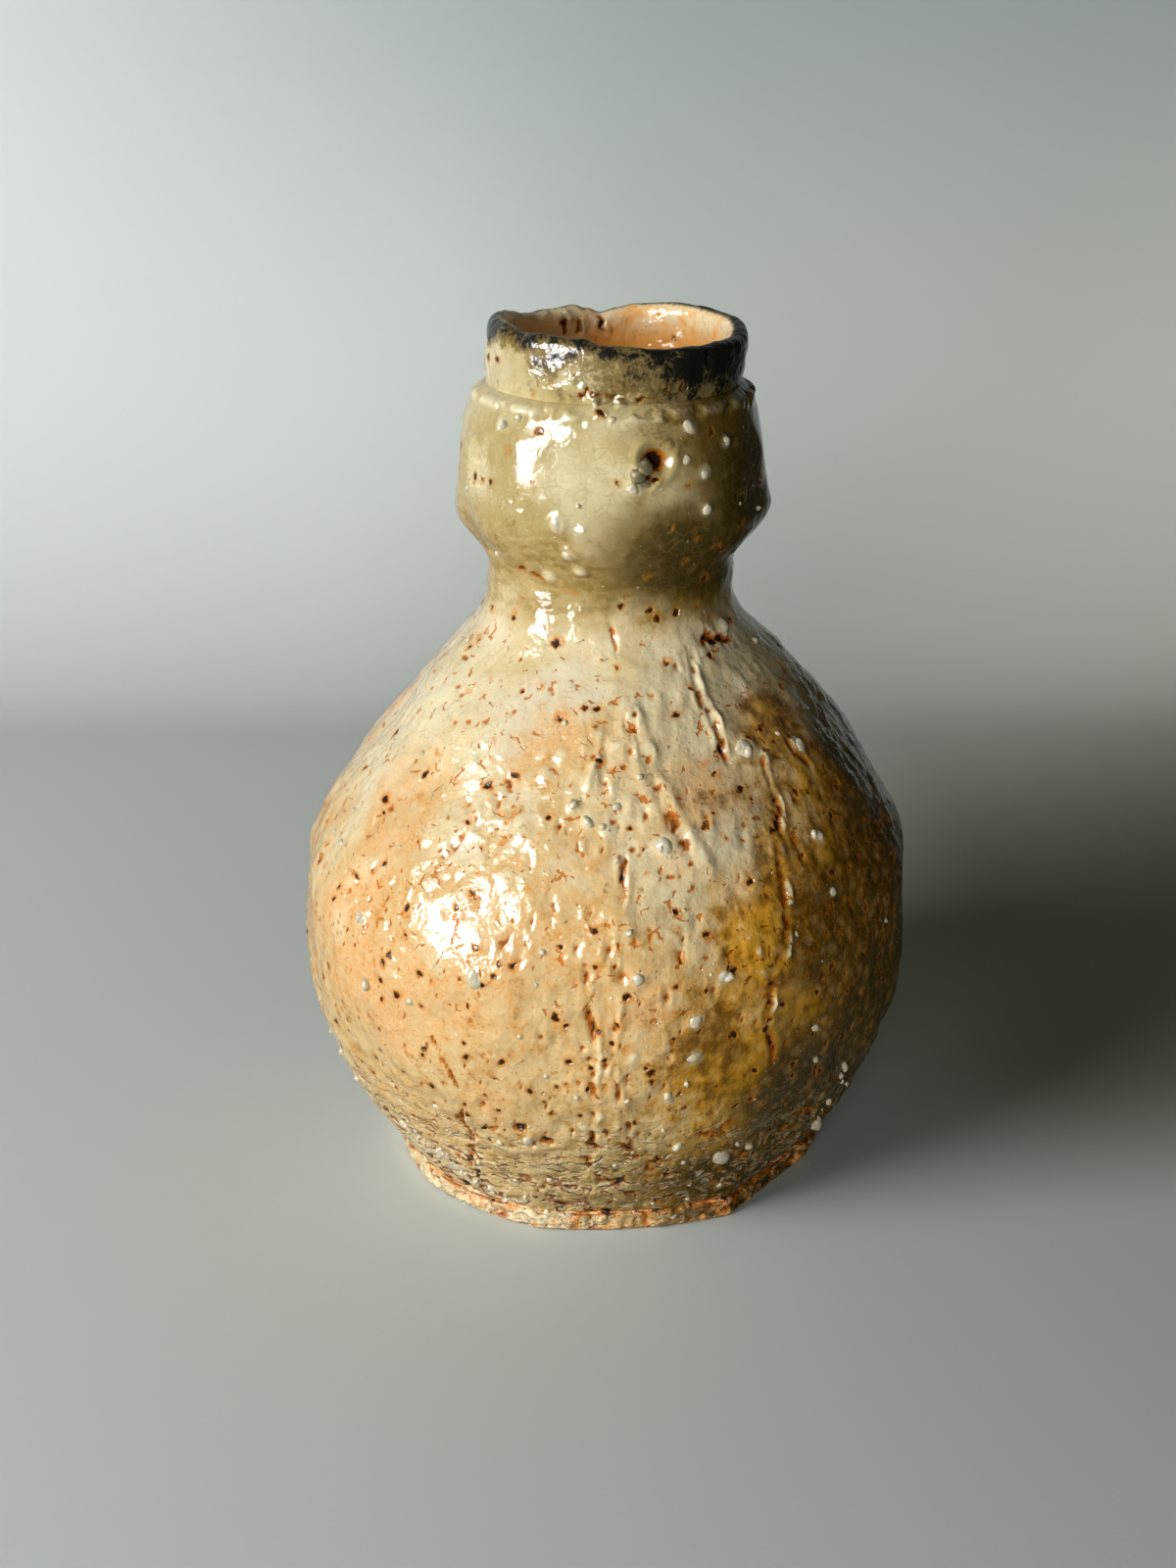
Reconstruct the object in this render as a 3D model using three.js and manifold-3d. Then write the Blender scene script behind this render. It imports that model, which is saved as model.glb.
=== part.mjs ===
// Stoneware bottle vase, gourd-shaped and built by hand: millimetres, +Z up, origin at the
// middle of the foot's underside. The front of the vase faces -Y.
//
// The potter cuts a slab for the foot, raises the belly on it, lutes a smaller bulb onto the
// belly's waist and wraps a flat coil round the mouth. The four clay pieces meet in level luted
// joints, and the coarse clay holds feldspar stones, each in its own socket in the wall.

import * as THREE from "three";
import { mergeVertices } from "three/addons/utils/BufferGeometryUtils.js";
import Module from "manifold-3d";

// The foot slab
const FOOT_RADIUS = 55.5;
const SLAB_THICKNESS = 4.5;
const SLAB_LIP = 1.3; // how far the slab's edge shows outside the wall that stands on it
const SLAB_EDGE_ROUND = 1.2;

// The belly, from the slab up to the waist
const BELLY_RADIUS = 73.2;
const BELLY_RISE = 57.5; // slab to the widest level
const SHOULDER_RADIUS = 52.2;
const SHOULDER_RISE = 46.5; // widest level to the shoulder
const SHOULDER_LEAN = 38; // degrees that the shoulder leans in from upright
const NECK_RISE = 36; // shoulder to waist
const WAIST_RADIUS = 28.3;
const BELLY_WALL = 6;

// The upper bulb, from the waist up to the collar
const BULB_RADIUS = 35.5;
const BULB_RISE = 16; // waist to the bulb's widest level
const BULB_CLOSING_RISE = 26.5; // widest level to the collar
const BULB_WALL = 4.6;

// The collar round the mouth
const MOUTH_RADIUS = 24.6;
const COLLAR_WALL = 4.6;
const COLLAR_HEIGHT = 12.6;
const COLLAR_UNDERCUT = 0.5; // the collar's lower edge draws in by this much
const COLLAR_LEDGE = 0.3; // how far the bulb's top edge shows outside the collar's lower edge

// The feldspar stones
const STONE_CLEARANCE = 0.3; // between a stone and its socket
const STONE_SUNK_SHARE = 0.45; // share of a stone's half thickness that its middle lies under the skin

// Hand shaping, by azimuth in degrees (0 is +X, 90 is +Y)
// The knife cut the foot in straight strokes: each corner's azimuth, how far it stands out of the
// round, and the share that the stroke to the next corner bows back out to the round.
const FOOT_CORNERS = [
  [-170, -3.2, 0.7], [-140, 0, 0.9], [-105, 2.2, 0.6], [-60, 2.2, 0], [-25, -1, 0.8],
  [25, 0.6, 0.5], [70, 0.6, 0.6], [115, 1, 0.5], [155, 0, 0.4],
];
const FOOT_CUT_FADE = 14; // the cuts fade out of the wall over this height
const CREST_WAVE = [
  [-156, 1.9], [-140, 1], [-108, 1], [-98, -0.5], [-60, -1.4], [-22, -1.3], [15, 0.4], [58, 1], [80, 0.2],
  [90, -0.8], [98, -1.8], [105, -0.8], [113, 0.5], [124, -0.3], [138, -0.6], [162, 1.6],
];
const BELLY_OVAL = 0.7; // the belly is this much fuller on its diagonals

// The fingers left soft hollows and swellings in the outer skin; the luted joints are smoothed over
const DENT_DEPTH = 1.2; // the deepest hollow
const DENT_WIDTH = 18;
const DENT_BEND = 1.3; // how far one wave of dents bends the next
const DENT_FADE = 9; // the dents fade out over this height beside a joint

// Fullness of the curves: the length of each tangent arm as a share of the rise that it shapes
const FULL = { base: 0.21, bellyBelow: 0.49, bellyAbove: 0.48, shoulderBelow: 0.22, shoulderAbove: 0.86,
  waist: 0.36, bulbStart: 0.46, bulbBelow: 0.46, bulbAbove: 0.46, bulbTop: 0.2 };
const BASE_FLARE = 33; // degrees that the wall leans out where it leaves the slab
const BULB_TOP_LEAN = 45;

// Levels where the pieces meet and turn, each counted up from the one below
const LEVEL = { slab: SLAB_THICKNESS };
LEVEL.belly = LEVEL.slab + BELLY_RISE;
LEVEL.shoulder = LEVEL.belly + SHOULDER_RISE;
LEVEL.waist = LEVEL.shoulder + NECK_RISE;
LEVEL.bulb = LEVEL.waist + BULB_RISE;
LEVEL.collar = LEVEL.bulb + BULB_CLOSING_RISE;
LEVEL.rim = LEVEL.collar + COLLAR_HEIGHT;

// The throwing axis wanders to +X on its way up
const WANDER = [
  [0, 0], [LEVEL.belly, 0], [LEVEL.shoulder, 2], [LEVEL.waist, 1], [LEVEL.bulb, 1.5], [LEVEL.collar, 1.6],
  [LEVEL.rim, 2.4],
];

const FINE_AROUND = 72;
const AROUND = 48;
const RADIANS = Math.PI / 180;

// Eased value between the two stations that hold x.
function between(stations, x) {
  const after = stations.findIndex(([place]) => place > x);
  if (after === 0) return stations[0][1];
  if (after < 0) return stations.at(-1)[1];
  const [x0, y0] = stations[after - 1];
  const [x1, y1] = stations[after];
  return y0 + (y1 - y0) * THREE.MathUtils.smoothstep(x, x0, x1);
}

// Stations given by azimuth, with the last one repeated before them and the first one after.
function closed(stations) {
  const moved = ([azimuth, ...values], turn) => [azimuth + turn, ...values];
  return [moved(stations.at(-1), -360), ...stations, moved(stations[0], 360)];
}

// How far the cut foot stands out of the round at an azimuth in degrees.
function footCut(azimuth) {
  const corners = closed(FOOT_CORNERS);
  const after = corners.findIndex(([place]) => place > azimuth);
  const [from, out0, bow] = corners[after - 1];
  const [to, out1] = corners[after];
  const [r0, r1] = [FOOT_RADIUS + out0, FOOT_RADIUS + out1];
  const sine = (degrees) => Math.sin(degrees * RADIANS);
  const straight = (r0 * r1 * sine(to - from)) / (r0 * sine(azimuth - from) + r1 * sine(to - azimuth));
  const round = THREE.MathUtils.mapLinear(azimuth, from, to, r0, r1);
  return THREE.MathUtils.lerp(straight, round, bow) - FOOT_RADIUS;
}

// Radius and level of a point of the round form, as the hand left it.
function handShaped(radius, level, azimuth) {
  const degrees = azimuth / RADIANS;
  const nearFoot = 1 - THREE.MathUtils.smoothstep(level, LEVEL.slab, LEVEL.slab + FOOT_CUT_FADE);
  const onBelly = THREE.MathUtils.smoothstep(level, LEVEL.slab, LEVEL.belly)
    * (1 - THREE.MathUtils.smoothstep(level, LEVEL.belly, LEVEL.waist));
  const swell = nearFoot * footCut(degrees) / FOOT_RADIUS
    + onBelly * BELLY_OVAL * Math.sin(2 * azimuth) / BELLY_RADIUS;
  const crest = Math.max(0, level - LEVEL.collar) / COLLAR_HEIGHT;
  const shaped = radius * (1 + swell);
  return new THREE.Vector3(
    shaped * Math.cos(azimuth) + between(WANDER, level),
    shaped * Math.sin(azimuth),
    level + crest ** 2 * between(closed(CREST_WAVE), degrees),
  );
}

// How far the fingers moved the skin in or out at a place: three waves, each bent by the next.
function fingerDent({ x, y, z }) {
  const turn = Math.PI / DENT_WIDTH;
  const wave = (along, across) => Math.sin(turn * along + DENT_BEND * Math.sin(turn * across));
  const fromJoint = Math.min(...[LEVEL.slab, LEVEL.waist, LEVEL.collar].map((level) => Math.abs(z - level)));
  const depth = DENT_DEPTH * THREE.MathUtils.smoothstep(fromJoint, 0, DENT_FADE);
  return (depth / 3) * (wave(x, z) + wave(y, x) + wave(z, y));
}

// A point of a wall's outer skin: shaped by hand, then dented.
function onSkin(radius, level, azimuth) {
  const place = handShaped(radius, level, azimuth);
  const outwards = new THREE.Vector3(Math.cos(azimuth), Math.sin(azimuth), 0);
  return place.addScaledVector(outwards, fingerDent(place));
}

// A turned solid from its outline of (radius, level) points. The first of them, up to the number
// given, are outer skin.
function turned(outline, around, skinPoints = 0) {
  const geometry = new THREE.LatheGeometry(outline, around);
  const position = geometry.getAttribute("position");
  for (let i = 0; i < position.count; i++) {
    const azimuth = Math.atan2(position.getX(i), position.getZ(i));
    const radius = Math.hypot(position.getX(i), position.getZ(i));
    const shaped = i % outline.length < skinPoints ? onSkin : handShaped;
    const place = shaped(radius, position.getY(i), azimuth);
    position.setXYZ(i, place.x, place.y, place.z);
  }
  geometry.deleteAttribute("normal");
  geometry.deleteAttribute("uv");
  return geometry;
}

// A cubic curve of the outline; each end has an arm of a given length and lean from upright.
function stretchOfWall(start, startArm, startLean, end, endArm, endLean, steps) {
  const arm = (length, lean) =>
    new THREE.Vector2(Math.sin(lean * RADIANS), Math.cos(lean * RADIANS)).multiplyScalar(length);
  return new THREE.CubicBezierCurve(
    start,
    start.clone().add(arm(startArm, startLean)),
    end.clone().sub(arm(endArm, endLean)),
    end,
  ).getPoints(steps);
}

const at = (radius, level) => new THREE.Vector2(radius, level);
const join = (...stretches) => stretches.flatMap((points, i) => (i ? points.slice(1) : points));

// Radii that follow from the sizes above
const WALL_BASE_RADIUS = FOOT_RADIUS - SLAB_LIP;
const WAIST_BORE = WAIST_RADIUS - BULB_WALL;
const COLLAR_RADIUS = MOUTH_RADIUS + COLLAR_WALL;
const COLLAR_FOOT_RADIUS = COLLAR_RADIUS - COLLAR_UNDERCUT;
const BULB_TOP_RADIUS = COLLAR_FOOT_RADIUS + COLLAR_LEDGE;

// The belly's outer line: out from the slab, over the widest level, in along the shoulder.
const bellyOutline = join(
  stretchOfWall(
    at(WALL_BASE_RADIUS, LEVEL.slab), FULL.base * BELLY_RISE, BASE_FLARE,
    at(BELLY_RADIUS, LEVEL.belly), FULL.bellyBelow * BELLY_RISE, 0, 9,
  ),
  stretchOfWall(
    at(BELLY_RADIUS, LEVEL.belly), FULL.bellyAbove * SHOULDER_RISE, 0,
    at(SHOULDER_RADIUS, LEVEL.shoulder), FULL.shoulderBelow * SHOULDER_RISE, -SHOULDER_LEAN, 8,
  ),
  stretchOfWall(
    at(SHOULDER_RADIUS, LEVEL.shoulder), FULL.shoulderAbove * NECK_RISE, -SHOULDER_LEAN,
    at(WAIST_RADIUS, LEVEL.waist), FULL.waist * NECK_RISE, 0, 7,
  ),
);

// The bulb's outer line: it swells sharply out of the waist and closes in under the collar.
const bulbOutline = join(
  stretchOfWall(
    at(WAIST_RADIUS, LEVEL.waist), FULL.bulbStart * BULB_RISE, 0,
    at(BULB_RADIUS, LEVEL.bulb), FULL.bulbBelow * BULB_RISE, 0, 8,
  ),
  stretchOfWall(
    at(BULB_RADIUS, LEVEL.bulb), FULL.bulbAbove * BULB_CLOSING_RISE, 0,
    at(BULB_TOP_RADIUS, LEVEL.collar), FULL.bulbTop * BULB_CLOSING_RISE, -BULB_TOP_LEAN, 7,
  ),
);

// The inner line of a wall, level by level, so that its thickness is measured square to the wall.
const STEEPEST_OFFSET = 1.6;
function insideOf(outline, wall, lastRadius) {
  return outline.map((point, i) => {
    if (i === outline.length - 1) return at(lastRadius, point.y);
    const before = outline[Math.max(i - 1, 0)];
    const after = outline[i + 1];
    const slant = Math.hypot(after.x - before.x, after.y - before.y) / (after.y - before.y);
    return at(point.x - wall * Math.min(slant, STEEPEST_OFFSET), point.y);
  });
}

// Up the outside and down the inside, closed on itself, so that the faces point out of the clay.
function ringOf(outline, inside, around) {
  const sparse = inside.filter((point, i) => i % 2 === 0 || i === inside.length - 1);
  return turned([...outline, ...sparse.toReversed(), outline[0]], around, outline.length);
}

function footSlab() {
  const edge = [0, 30, 60, 90].map((degrees) => at(
    FOOT_RADIUS - SLAB_EDGE_ROUND * (1 - Math.sin(degrees * RADIANS)),
    SLAB_EDGE_ROUND * (1 - Math.cos(degrees * RADIANS)),
  ));
  const underside = [at(0, 0), at(FOOT_RADIUS / 2, 0), ...edge];
  const top = [at(FOOT_RADIUS, LEVEL.slab), at(FOOT_RADIUS / 2, LEVEL.slab), at(0, LEVEL.slab)];
  return turned([...underside, ...top], FINE_AROUND);
}

function rimCollar() {
  const round = COLLAR_WALL / 2;
  const crestLevel = LEVEL.rim - round;
  const crest = [0, 30, 60, 90, 120, 150, 180].map((degrees) => at(
    MOUTH_RADIUS + round + round * Math.cos(degrees * RADIANS),
    crestLevel + round * Math.sin(degrees * RADIANS),
  ));
  const outerSide = [
    at(COLLAR_FOOT_RADIUS, LEVEL.collar),
    at(COLLAR_RADIUS, LEVEL.collar + COLLAR_HEIGHT / 3),
  ];
  const innerSide = [at(MOUTH_RADIUS, LEVEL.collar + COLLAR_HEIGHT / 2), at(MOUTH_RADIUS, LEVEL.collar)];
  return turned([...outerSide, ...crest, ...innerSide, outerSide[0]], FINE_AROUND);
}

// Feldspar stones: share of the wall piece's height, azimuth, and half sizes across, up and through.
const BELLY_STONES = {
  feldspar_neck_knob: [0.93, -35, 2, 2, 1.7],
  feldspar_shoulder_knob: [0.775, -54, 2.7, 2.6, 2.1],
  feldspar_shoulder_right: [0.76, -37, 1.7, 2.2, 1.6],
  feldspar_centre_lump: [0.67, -80, 2.4, 2.4, 1.9],
  feldspar_right_bead_high: [0.64, -44, 1.6, 1.6, 1.5],
  feldspar_right_bead_mid: [0.555, -44, 1.5, 1.5, 1.4],
  feldspar_left_flush: [0.5, -141, 2.1, 2, 1.4],
  feldspar_centre_bead: [0.49, -85, 1.6, 1.6, 1.5],
  feldspar_right_crease: [0.477, -70, 1.8, 1.8, 1.6],
  feldspar_left_large: [0.475, -113, 2.2, 2.8, 1.6],
  feldspar_lower_bright: [0.41, -75, 2, 2, 1.7],
  feldspar_lower_long: [0.345, -75, 2.7, 1.5, 1.6],
  feldspar_lower_oval: [0.275, -79, 1.6, 1.3, 1.4],
  feldspar_low_right: [0.12, -65, 1.9, 1.7, 1.6],
};
const BULB_STONES = {
  feldspar_bulb_top: [0.93, -91, 1.4, 1.3, 1.3],
  feldspar_bulb_long: [0.89, -61, 1.9, 2.4, 1.5],
  feldspar_bulb_split: [0.87, -139, 1.3, 2.2, 1.3],
  feldspar_bulb_right: [0.79, -45, 1.4, 1.4, 1.3],
  feldspar_bulb_side: [0.78, 178, 1.3, 1.4, 1.3],
  feldspar_bulb_oval: [0.665, -57, 1.5, 2, 1.4],
  feldspar_bulb_centre: [0.605, -84, 1.6, 1.6, 1.4],
  feldspar_bulb_lower_right: [0.47, -56, 1.6, 1.5, 1.3],
  feldspar_bulb_left: [0.41, -111, 1.4, 2.3, 1.4],
  feldspar_bulb_crease: [0.25, -107, 1.6, 1.5, 1.4],
};

// Where a stone sits on a wall: the skin's point there, and the way out of the clay.
function onWall(outline, share, azimuth) {
  const level = THREE.MathUtils.lerp(outline[0].y, outline.at(-1).y, share);
  const above = outline.findIndex((point) => point.y >= level);
  const [low, high] = [outline[above - 1], outline[above]];
  const radiusAt = (z) => THREE.MathUtils.mapLinear(z, low.y, high.y, low.x, high.x);
  const skin = onSkin(radiusAt(level), level, azimuth);
  const higher = onSkin(radiusAt(level + 1), level + 1, azimuth).sub(skin);
  const beside = new THREE.Vector3(-Math.sin(azimuth), Math.cos(azimuth), 0);
  const out = beside.clone().cross(higher).normalize();
  return { skin, out, beside };
}

function stoneGeometry(halfSizes, seat, clearance) {
  const [across, up, through] = halfSizes.map((half) => half + clearance);
  const upWall = seat.out.clone().cross(seat.beside);
  const turn = new THREE.Matrix4().makeBasis(seat.beside, upWall, seat.out);
  const middle = seat.skin.clone().addScaledVector(seat.out, -STONE_SUNK_SHARE * halfSizes[2]);
  return new THREE.SphereGeometry(1, 8, 6)
    .rotateX(Math.PI / 2)
    .scale(across, up, through)
    .applyMatrix4(turn)
    .translate(middle.x, middle.y, middle.z);
}

// Solids for cutting the sockets
const wasm = await Module();
wasm.setup();

function solidOf(geometry) {
  const bare = geometry.index ? geometry.toNonIndexed() : geometry.clone();
  bare.deleteAttribute("normal");
  bare.deleteAttribute("uv");
  const merged = mergeVertices(bare, 1e-4);
  return new wasm.Manifold(new wasm.Mesh({
    numProp: 3,
    vertProperties: merged.getAttribute("position").array,
    triVerts: new Uint32Array(merged.index.array),
  }));
}

function geometryOf(solid) {
  const mesh = solid.getMesh();
  return new THREE.BufferGeometry()
    .setAttribute("position", new THREE.BufferAttribute(mesh.vertProperties, 3))
    .setIndex(new THREE.BufferAttribute(mesh.triVerts, 1));
}

const ashGlaze = new THREE.MeshStandardMaterial({ color: 0xd8c896, roughness: 0.25, metalness: 0 });
const flashedGlaze = new THREE.MeshStandardMaterial({ color: 0xd9a865, roughness: 0.28, metalness: 0 });
const smokedGlaze = new THREE.MeshStandardMaterial({ color: 0x6e664c, roughness: 0.45, metalness: 0 });
const bareClay = new THREE.MeshStandardMaterial({ color: 0xc07a45, roughness: 0.7, metalness: 0 });
const feldspar = new THREE.MeshStandardMaterial({ color: 0xdedccb, roughness: 0.3, metalness: 0 });

const vase = new THREE.Group();

function add(name, geometry, material) {
  const mesh = new THREE.Mesh(geometry, material);
  mesh.name = name;
  vase.add(mesh);
}

// A wall with a socket for each of its stones, and the stones themselves.
function addStonyWall(name, wall, outline, stones, material) {
  let clay = solidOf(wall);
  for (const [stone, [share, azimuth, ...halfSizes]] of Object.entries(stones)) {
    const seat = onWall(outline, share, azimuth * RADIANS);
    clay = clay.subtract(solidOf(stoneGeometry(halfSizes, seat, STONE_CLEARANCE)));
    add(stone, stoneGeometry(halfSizes, seat, 0), feldspar);
  }
  add(name, geometryOf(clay), material);
}

add("foot_slab", footSlab(), bareClay);
addStonyWall(
  "belly_wall", ringOf(bellyOutline, insideOf(bellyOutline, BELLY_WALL, WAIST_BORE), AROUND),
  bellyOutline, BELLY_STONES, flashedGlaze,
);
addStonyWall(
  "upper_bulb", ringOf(bulbOutline, insideOf(bulbOutline, BULB_WALL, MOUTH_RADIUS), AROUND),
  bulbOutline, BULB_STONES, ashGlaze,
);
add("rim_collar", rimCollar(), smokedGlaze);

export default vase;
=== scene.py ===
# %% [markdown]
# # A wood-fired bottle vase
# A potter raised this vase by hand from coarse clay that is full of feldspar grains, and a wood
# kiln glazed it with its own ash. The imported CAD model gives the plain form: a foot slab, a belly,
# a bulb and a collar, with the largest grains seated in the walls. This lesson dresses that form:
# first the camera, then the clay walls with every pit and crease, then the glaze, the grains and
# the light. The frame is loaded first, because every size below starts from it.

import math

import bmesh
import bpy
import numpy as np
from mathutils import Euler, Matrix, Vector, geometry, noise
from mathutils.bvhtree import BVHTree
from mathutils.kdtree import KDTree


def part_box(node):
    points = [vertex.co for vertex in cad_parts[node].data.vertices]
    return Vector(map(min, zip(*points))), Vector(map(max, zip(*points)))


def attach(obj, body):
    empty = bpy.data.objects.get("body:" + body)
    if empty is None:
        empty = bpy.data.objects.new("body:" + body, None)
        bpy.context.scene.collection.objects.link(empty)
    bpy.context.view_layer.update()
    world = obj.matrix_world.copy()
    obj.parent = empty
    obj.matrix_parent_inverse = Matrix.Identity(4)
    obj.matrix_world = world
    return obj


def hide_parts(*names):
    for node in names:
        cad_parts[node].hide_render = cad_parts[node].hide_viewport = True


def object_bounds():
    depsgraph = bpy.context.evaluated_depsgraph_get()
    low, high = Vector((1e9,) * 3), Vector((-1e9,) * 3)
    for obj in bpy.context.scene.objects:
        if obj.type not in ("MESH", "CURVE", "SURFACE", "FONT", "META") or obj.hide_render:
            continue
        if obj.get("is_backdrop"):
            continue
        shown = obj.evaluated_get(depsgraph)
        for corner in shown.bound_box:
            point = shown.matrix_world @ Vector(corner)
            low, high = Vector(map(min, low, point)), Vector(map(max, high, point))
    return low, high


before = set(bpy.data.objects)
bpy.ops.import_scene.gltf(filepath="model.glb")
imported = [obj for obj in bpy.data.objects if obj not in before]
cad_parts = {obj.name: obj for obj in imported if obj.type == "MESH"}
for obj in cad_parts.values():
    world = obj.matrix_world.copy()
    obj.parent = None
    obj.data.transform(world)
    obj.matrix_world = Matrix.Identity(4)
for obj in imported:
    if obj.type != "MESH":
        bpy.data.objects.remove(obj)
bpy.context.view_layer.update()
MM = 0.001

# %% [markdown]
# ## The camera
# The photograph was taken from a little above, with a phone's lens. The camera's height, distance
# and tilt were found by matching the vase's outline, so the vase fills the same pixels here. The
# sensor's 36 mm lie along the picture's long side.

# %% Place the camera
SENSOR = 36
LENS = 49.95
PHOTO_WIDTH, PHOTO_HEIGHT = 1200, 1600
CAMERA_PLACE = Vector((-4.24, -488.65, 279.66)) * MM
CAMERA_TURN = Euler((math.radians(90 - 21.266), 0, 0))

lens = bpy.data.cameras.new("camera")
lens.lens = LENS
lens.sensor_width = SENSOR
lens.clip_start = 0.02
lens.clip_end = 30
camera = bpy.data.objects.new("camera", lens)
camera.location = CAMERA_PLACE
camera.rotation_euler = CAMERA_TURN
bpy.context.scene.collection.objects.link(camera)
bpy.context.scene.camera = camera
bpy.context.scene.view_settings.view_transform = "Standard"


def sight_line(pixel):
    """The direction in which the camera sees a pixel of the photograph."""
    scale = SENSOR / PHOTO_HEIGHT / LENS
    across = (pixel[0] - PHOTO_WIDTH / 2) * scale
    up = (PHOTO_HEIGHT / 2 - pixel[1]) * scale
    return CAMERA_TURN.to_matrix() @ Vector((across, up, -1)).normalized()


print("camera at", [round(x / MM) for x in CAMERA_PLACE], "mm, lens", LENS)

# %% [markdown]
# ## The outline of the walls
# A pot is a turned form, so its wall is one line from foot to mouth. The levels where the clay
# pieces meet come from the frame's boxes. Between them the line is a chain of Bezier curves, the
# same ones that the CAD model uses, but cut into many more steps, so that there are enough
# points to press pits and creases into later.

# %% Levels, radii and the Bezier stretches, in millimetres
slab_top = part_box("foot_slab")[1].z / MM
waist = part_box("belly_wall")[1].z / MM
collar_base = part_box("upper_bulb")[1].z / MM
BELLY_RISE, SHOULDER_RISE, BULB_RISE = 57.5, 46.5, 16
belly_level = slab_top + BELLY_RISE
shoulder_level = belly_level + SHOULDER_RISE
bulb_level = waist + BULB_RISE
COLLAR_HEIGHT, COLLAR_WALL, COLLAR_UNDERCUT = 12.6, 4.6, 0.5
rim_level = collar_base + COLLAR_HEIGHT

BELLY_RADIUS, SHOULDER_RADIUS, WAIST_RADIUS = 73.2, 52.2, 28.3
BULB_RADIUS, MOUTH_RADIUS = 35.5, 24.6
FOOT_RADIUS, SLAB_LIP = 55.5, 1.3
BELLY_WALL, BULB_WALL = 6, 4.6
collar_radius = MOUTH_RADIUS + COLLAR_WALL
bulb_top_radius = collar_radius - 0.2


def stretch_of_wall(start, start_arm, start_lean, end, end_arm, end_lean):
    """One Bezier curve of the outline; each end has an arm with its length and lean in degrees."""
    def arm(length, lean):
        return Vector((math.sin(math.radians(lean)), 0, math.cos(math.radians(lean)))) * length

    begin, finish = Vector((start[0], 0, start[1])), Vector((end[0], 0, end[1]))
    curve = geometry.interpolate_bezier(
        begin, begin + arm(start_arm, start_lean), finish - arm(end_arm, end_lean), finish, 120)
    return [(point.x, point.z) for point in curve]


def evenly(outline, step):
    """The same outline with its points about one step apart."""
    points = np.array(outline)
    run = np.concatenate([[0], np.cumsum(np.linalg.norm(np.diff(points, axis=0), axis=1))])
    stops = np.linspace(0, run[-1], max(2, round(run[-1] / step)))
    return np.column_stack([np.interp(stops, run, points[:, 0]), np.interp(stops, run, points[:, 1])])


belly_outline = (
    stretch_of_wall((FOOT_RADIUS - SLAB_LIP, slab_top), 12.1, 33, (BELLY_RADIUS, belly_level), 28.2, 0)
    + stretch_of_wall((BELLY_RADIUS, belly_level), 22.3, 0, (SHOULDER_RADIUS, shoulder_level), 10.2, -38)
    + stretch_of_wall((SHOULDER_RADIUS, shoulder_level), 31, -38, (WAIST_RADIUS, waist), 13, 0))
bulb_outline = (
    stretch_of_wall((WAIST_RADIUS, waist), 7.4, 0, (BULB_RADIUS, bulb_level), 7.4, 0)
    + stretch_of_wall((BULB_RADIUS, bulb_level), 12.2, 0, (bulb_top_radius, collar_base), 5.3, -45))
print("levels in mm: slab", round(slab_top, 1), "waist", round(waist, 1), "collar", round(collar_base, 1))

# %% [markdown]
# ## Turning the outline
# On the wheel, a wall is its outline swept round the axis, and Blender's spin operator does the
# same. Each outline runs up the outside and down the inside, so the wall has its real thickness
# and its mouth stays open. One eighth is spun first and then copied round, which is much faster
# than one long spin. Layers on the points remember which way is out of the wall and whether a
# point is outside, and every copy that the spin makes inherits them.

# %% Spin a closed outline into a wall
def ways_out(outline):
    """The direction square to an outline, (outwards, up), on its right-hand side."""
    outwards, up = np.gradient(outline, axis=0).T
    return np.column_stack([up, -outwards]) / np.hypot(outwards, up)[:, None]


def inside_of(outline, wall, last_radius):
    """The inner line of a wall, from its top down, with the thickness measured square to it."""
    inner = outline[:, 0] - wall / np.maximum(ways_out(outline)[:, 0], 0.62)
    inner[-1] = last_radius
    return np.column_stack([inner, outline[:, 1]])[::-1]


def spun(stretches, around):
    """A bmesh of an outline turned once round the axis. Its stretches are (points, outside share)."""
    shell = bmesh.new()
    for name in ("outwards", "up", "outside"):
        shell.verts.layers.float.new(name)
    layers = [shell.verts.layers.float[name] for name in ("outwards", "up", "outside")]
    ring = []
    for points, outside in stretches:
        for (radius, level), way in zip(points, ways_out(points)):
            vertex = shell.verts.new((radius, 0, level))
            for layer, value in zip(layers, (*way, outside)):
                vertex[layer] = value
            ring.append(vertex)
    lines = [shell.edges.new(pair) for pair in zip(ring, ring[1:])]
    if ring[0].co.x > 0:
        lines.append(shell.edges.new((ring[-1], ring[0])))
    turn = {"cent": (0, 0, 0), "axis": (0, 0, 1)}
    bmesh.ops.spin(shell, geom=ring + lines, angle=math.tau / 8, steps=around // 8, **turn)
    eighth = shell.verts[:] + shell.edges[:] + shell.faces[:]
    bmesh.ops.spin(shell, geom=eighth, angle=math.tau * 7 / 8, steps=7, use_duplicate=True, **turn)
    bmesh.ops.remove_doubles(shell, verts=shell.verts, dist=1e-4)
    bmesh.ops.recalc_face_normals(shell, faces=shell.faces)
    for edge in shell.edges:
        edge.smooth = edge.calc_face_angle(0) < math.radians(50)
    return shell


WRINKLED_UP_TO = 34
low = evenly([point for point in belly_outline if point[1] <= WRINKLED_UP_TO], 0.72)
high = evenly([point for point in belly_outline if point[1] > WRINKLED_UP_TO], 1.22)
inner = inside_of(evenly(belly_outline, 9), BELLY_WALL, WAIST_RADIUS - BULB_WALL)
belly = spun([(np.vstack([low, high]), 1), (inner, 0)], 568)

outer = evenly(bulb_outline, 0.6)
inner = inside_of(evenly(bulb_outline, 2.4), BULB_WALL, MOUTH_RADIUS)
bulb = spun([(outer, 1), (inner, 0)], 440)

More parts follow.
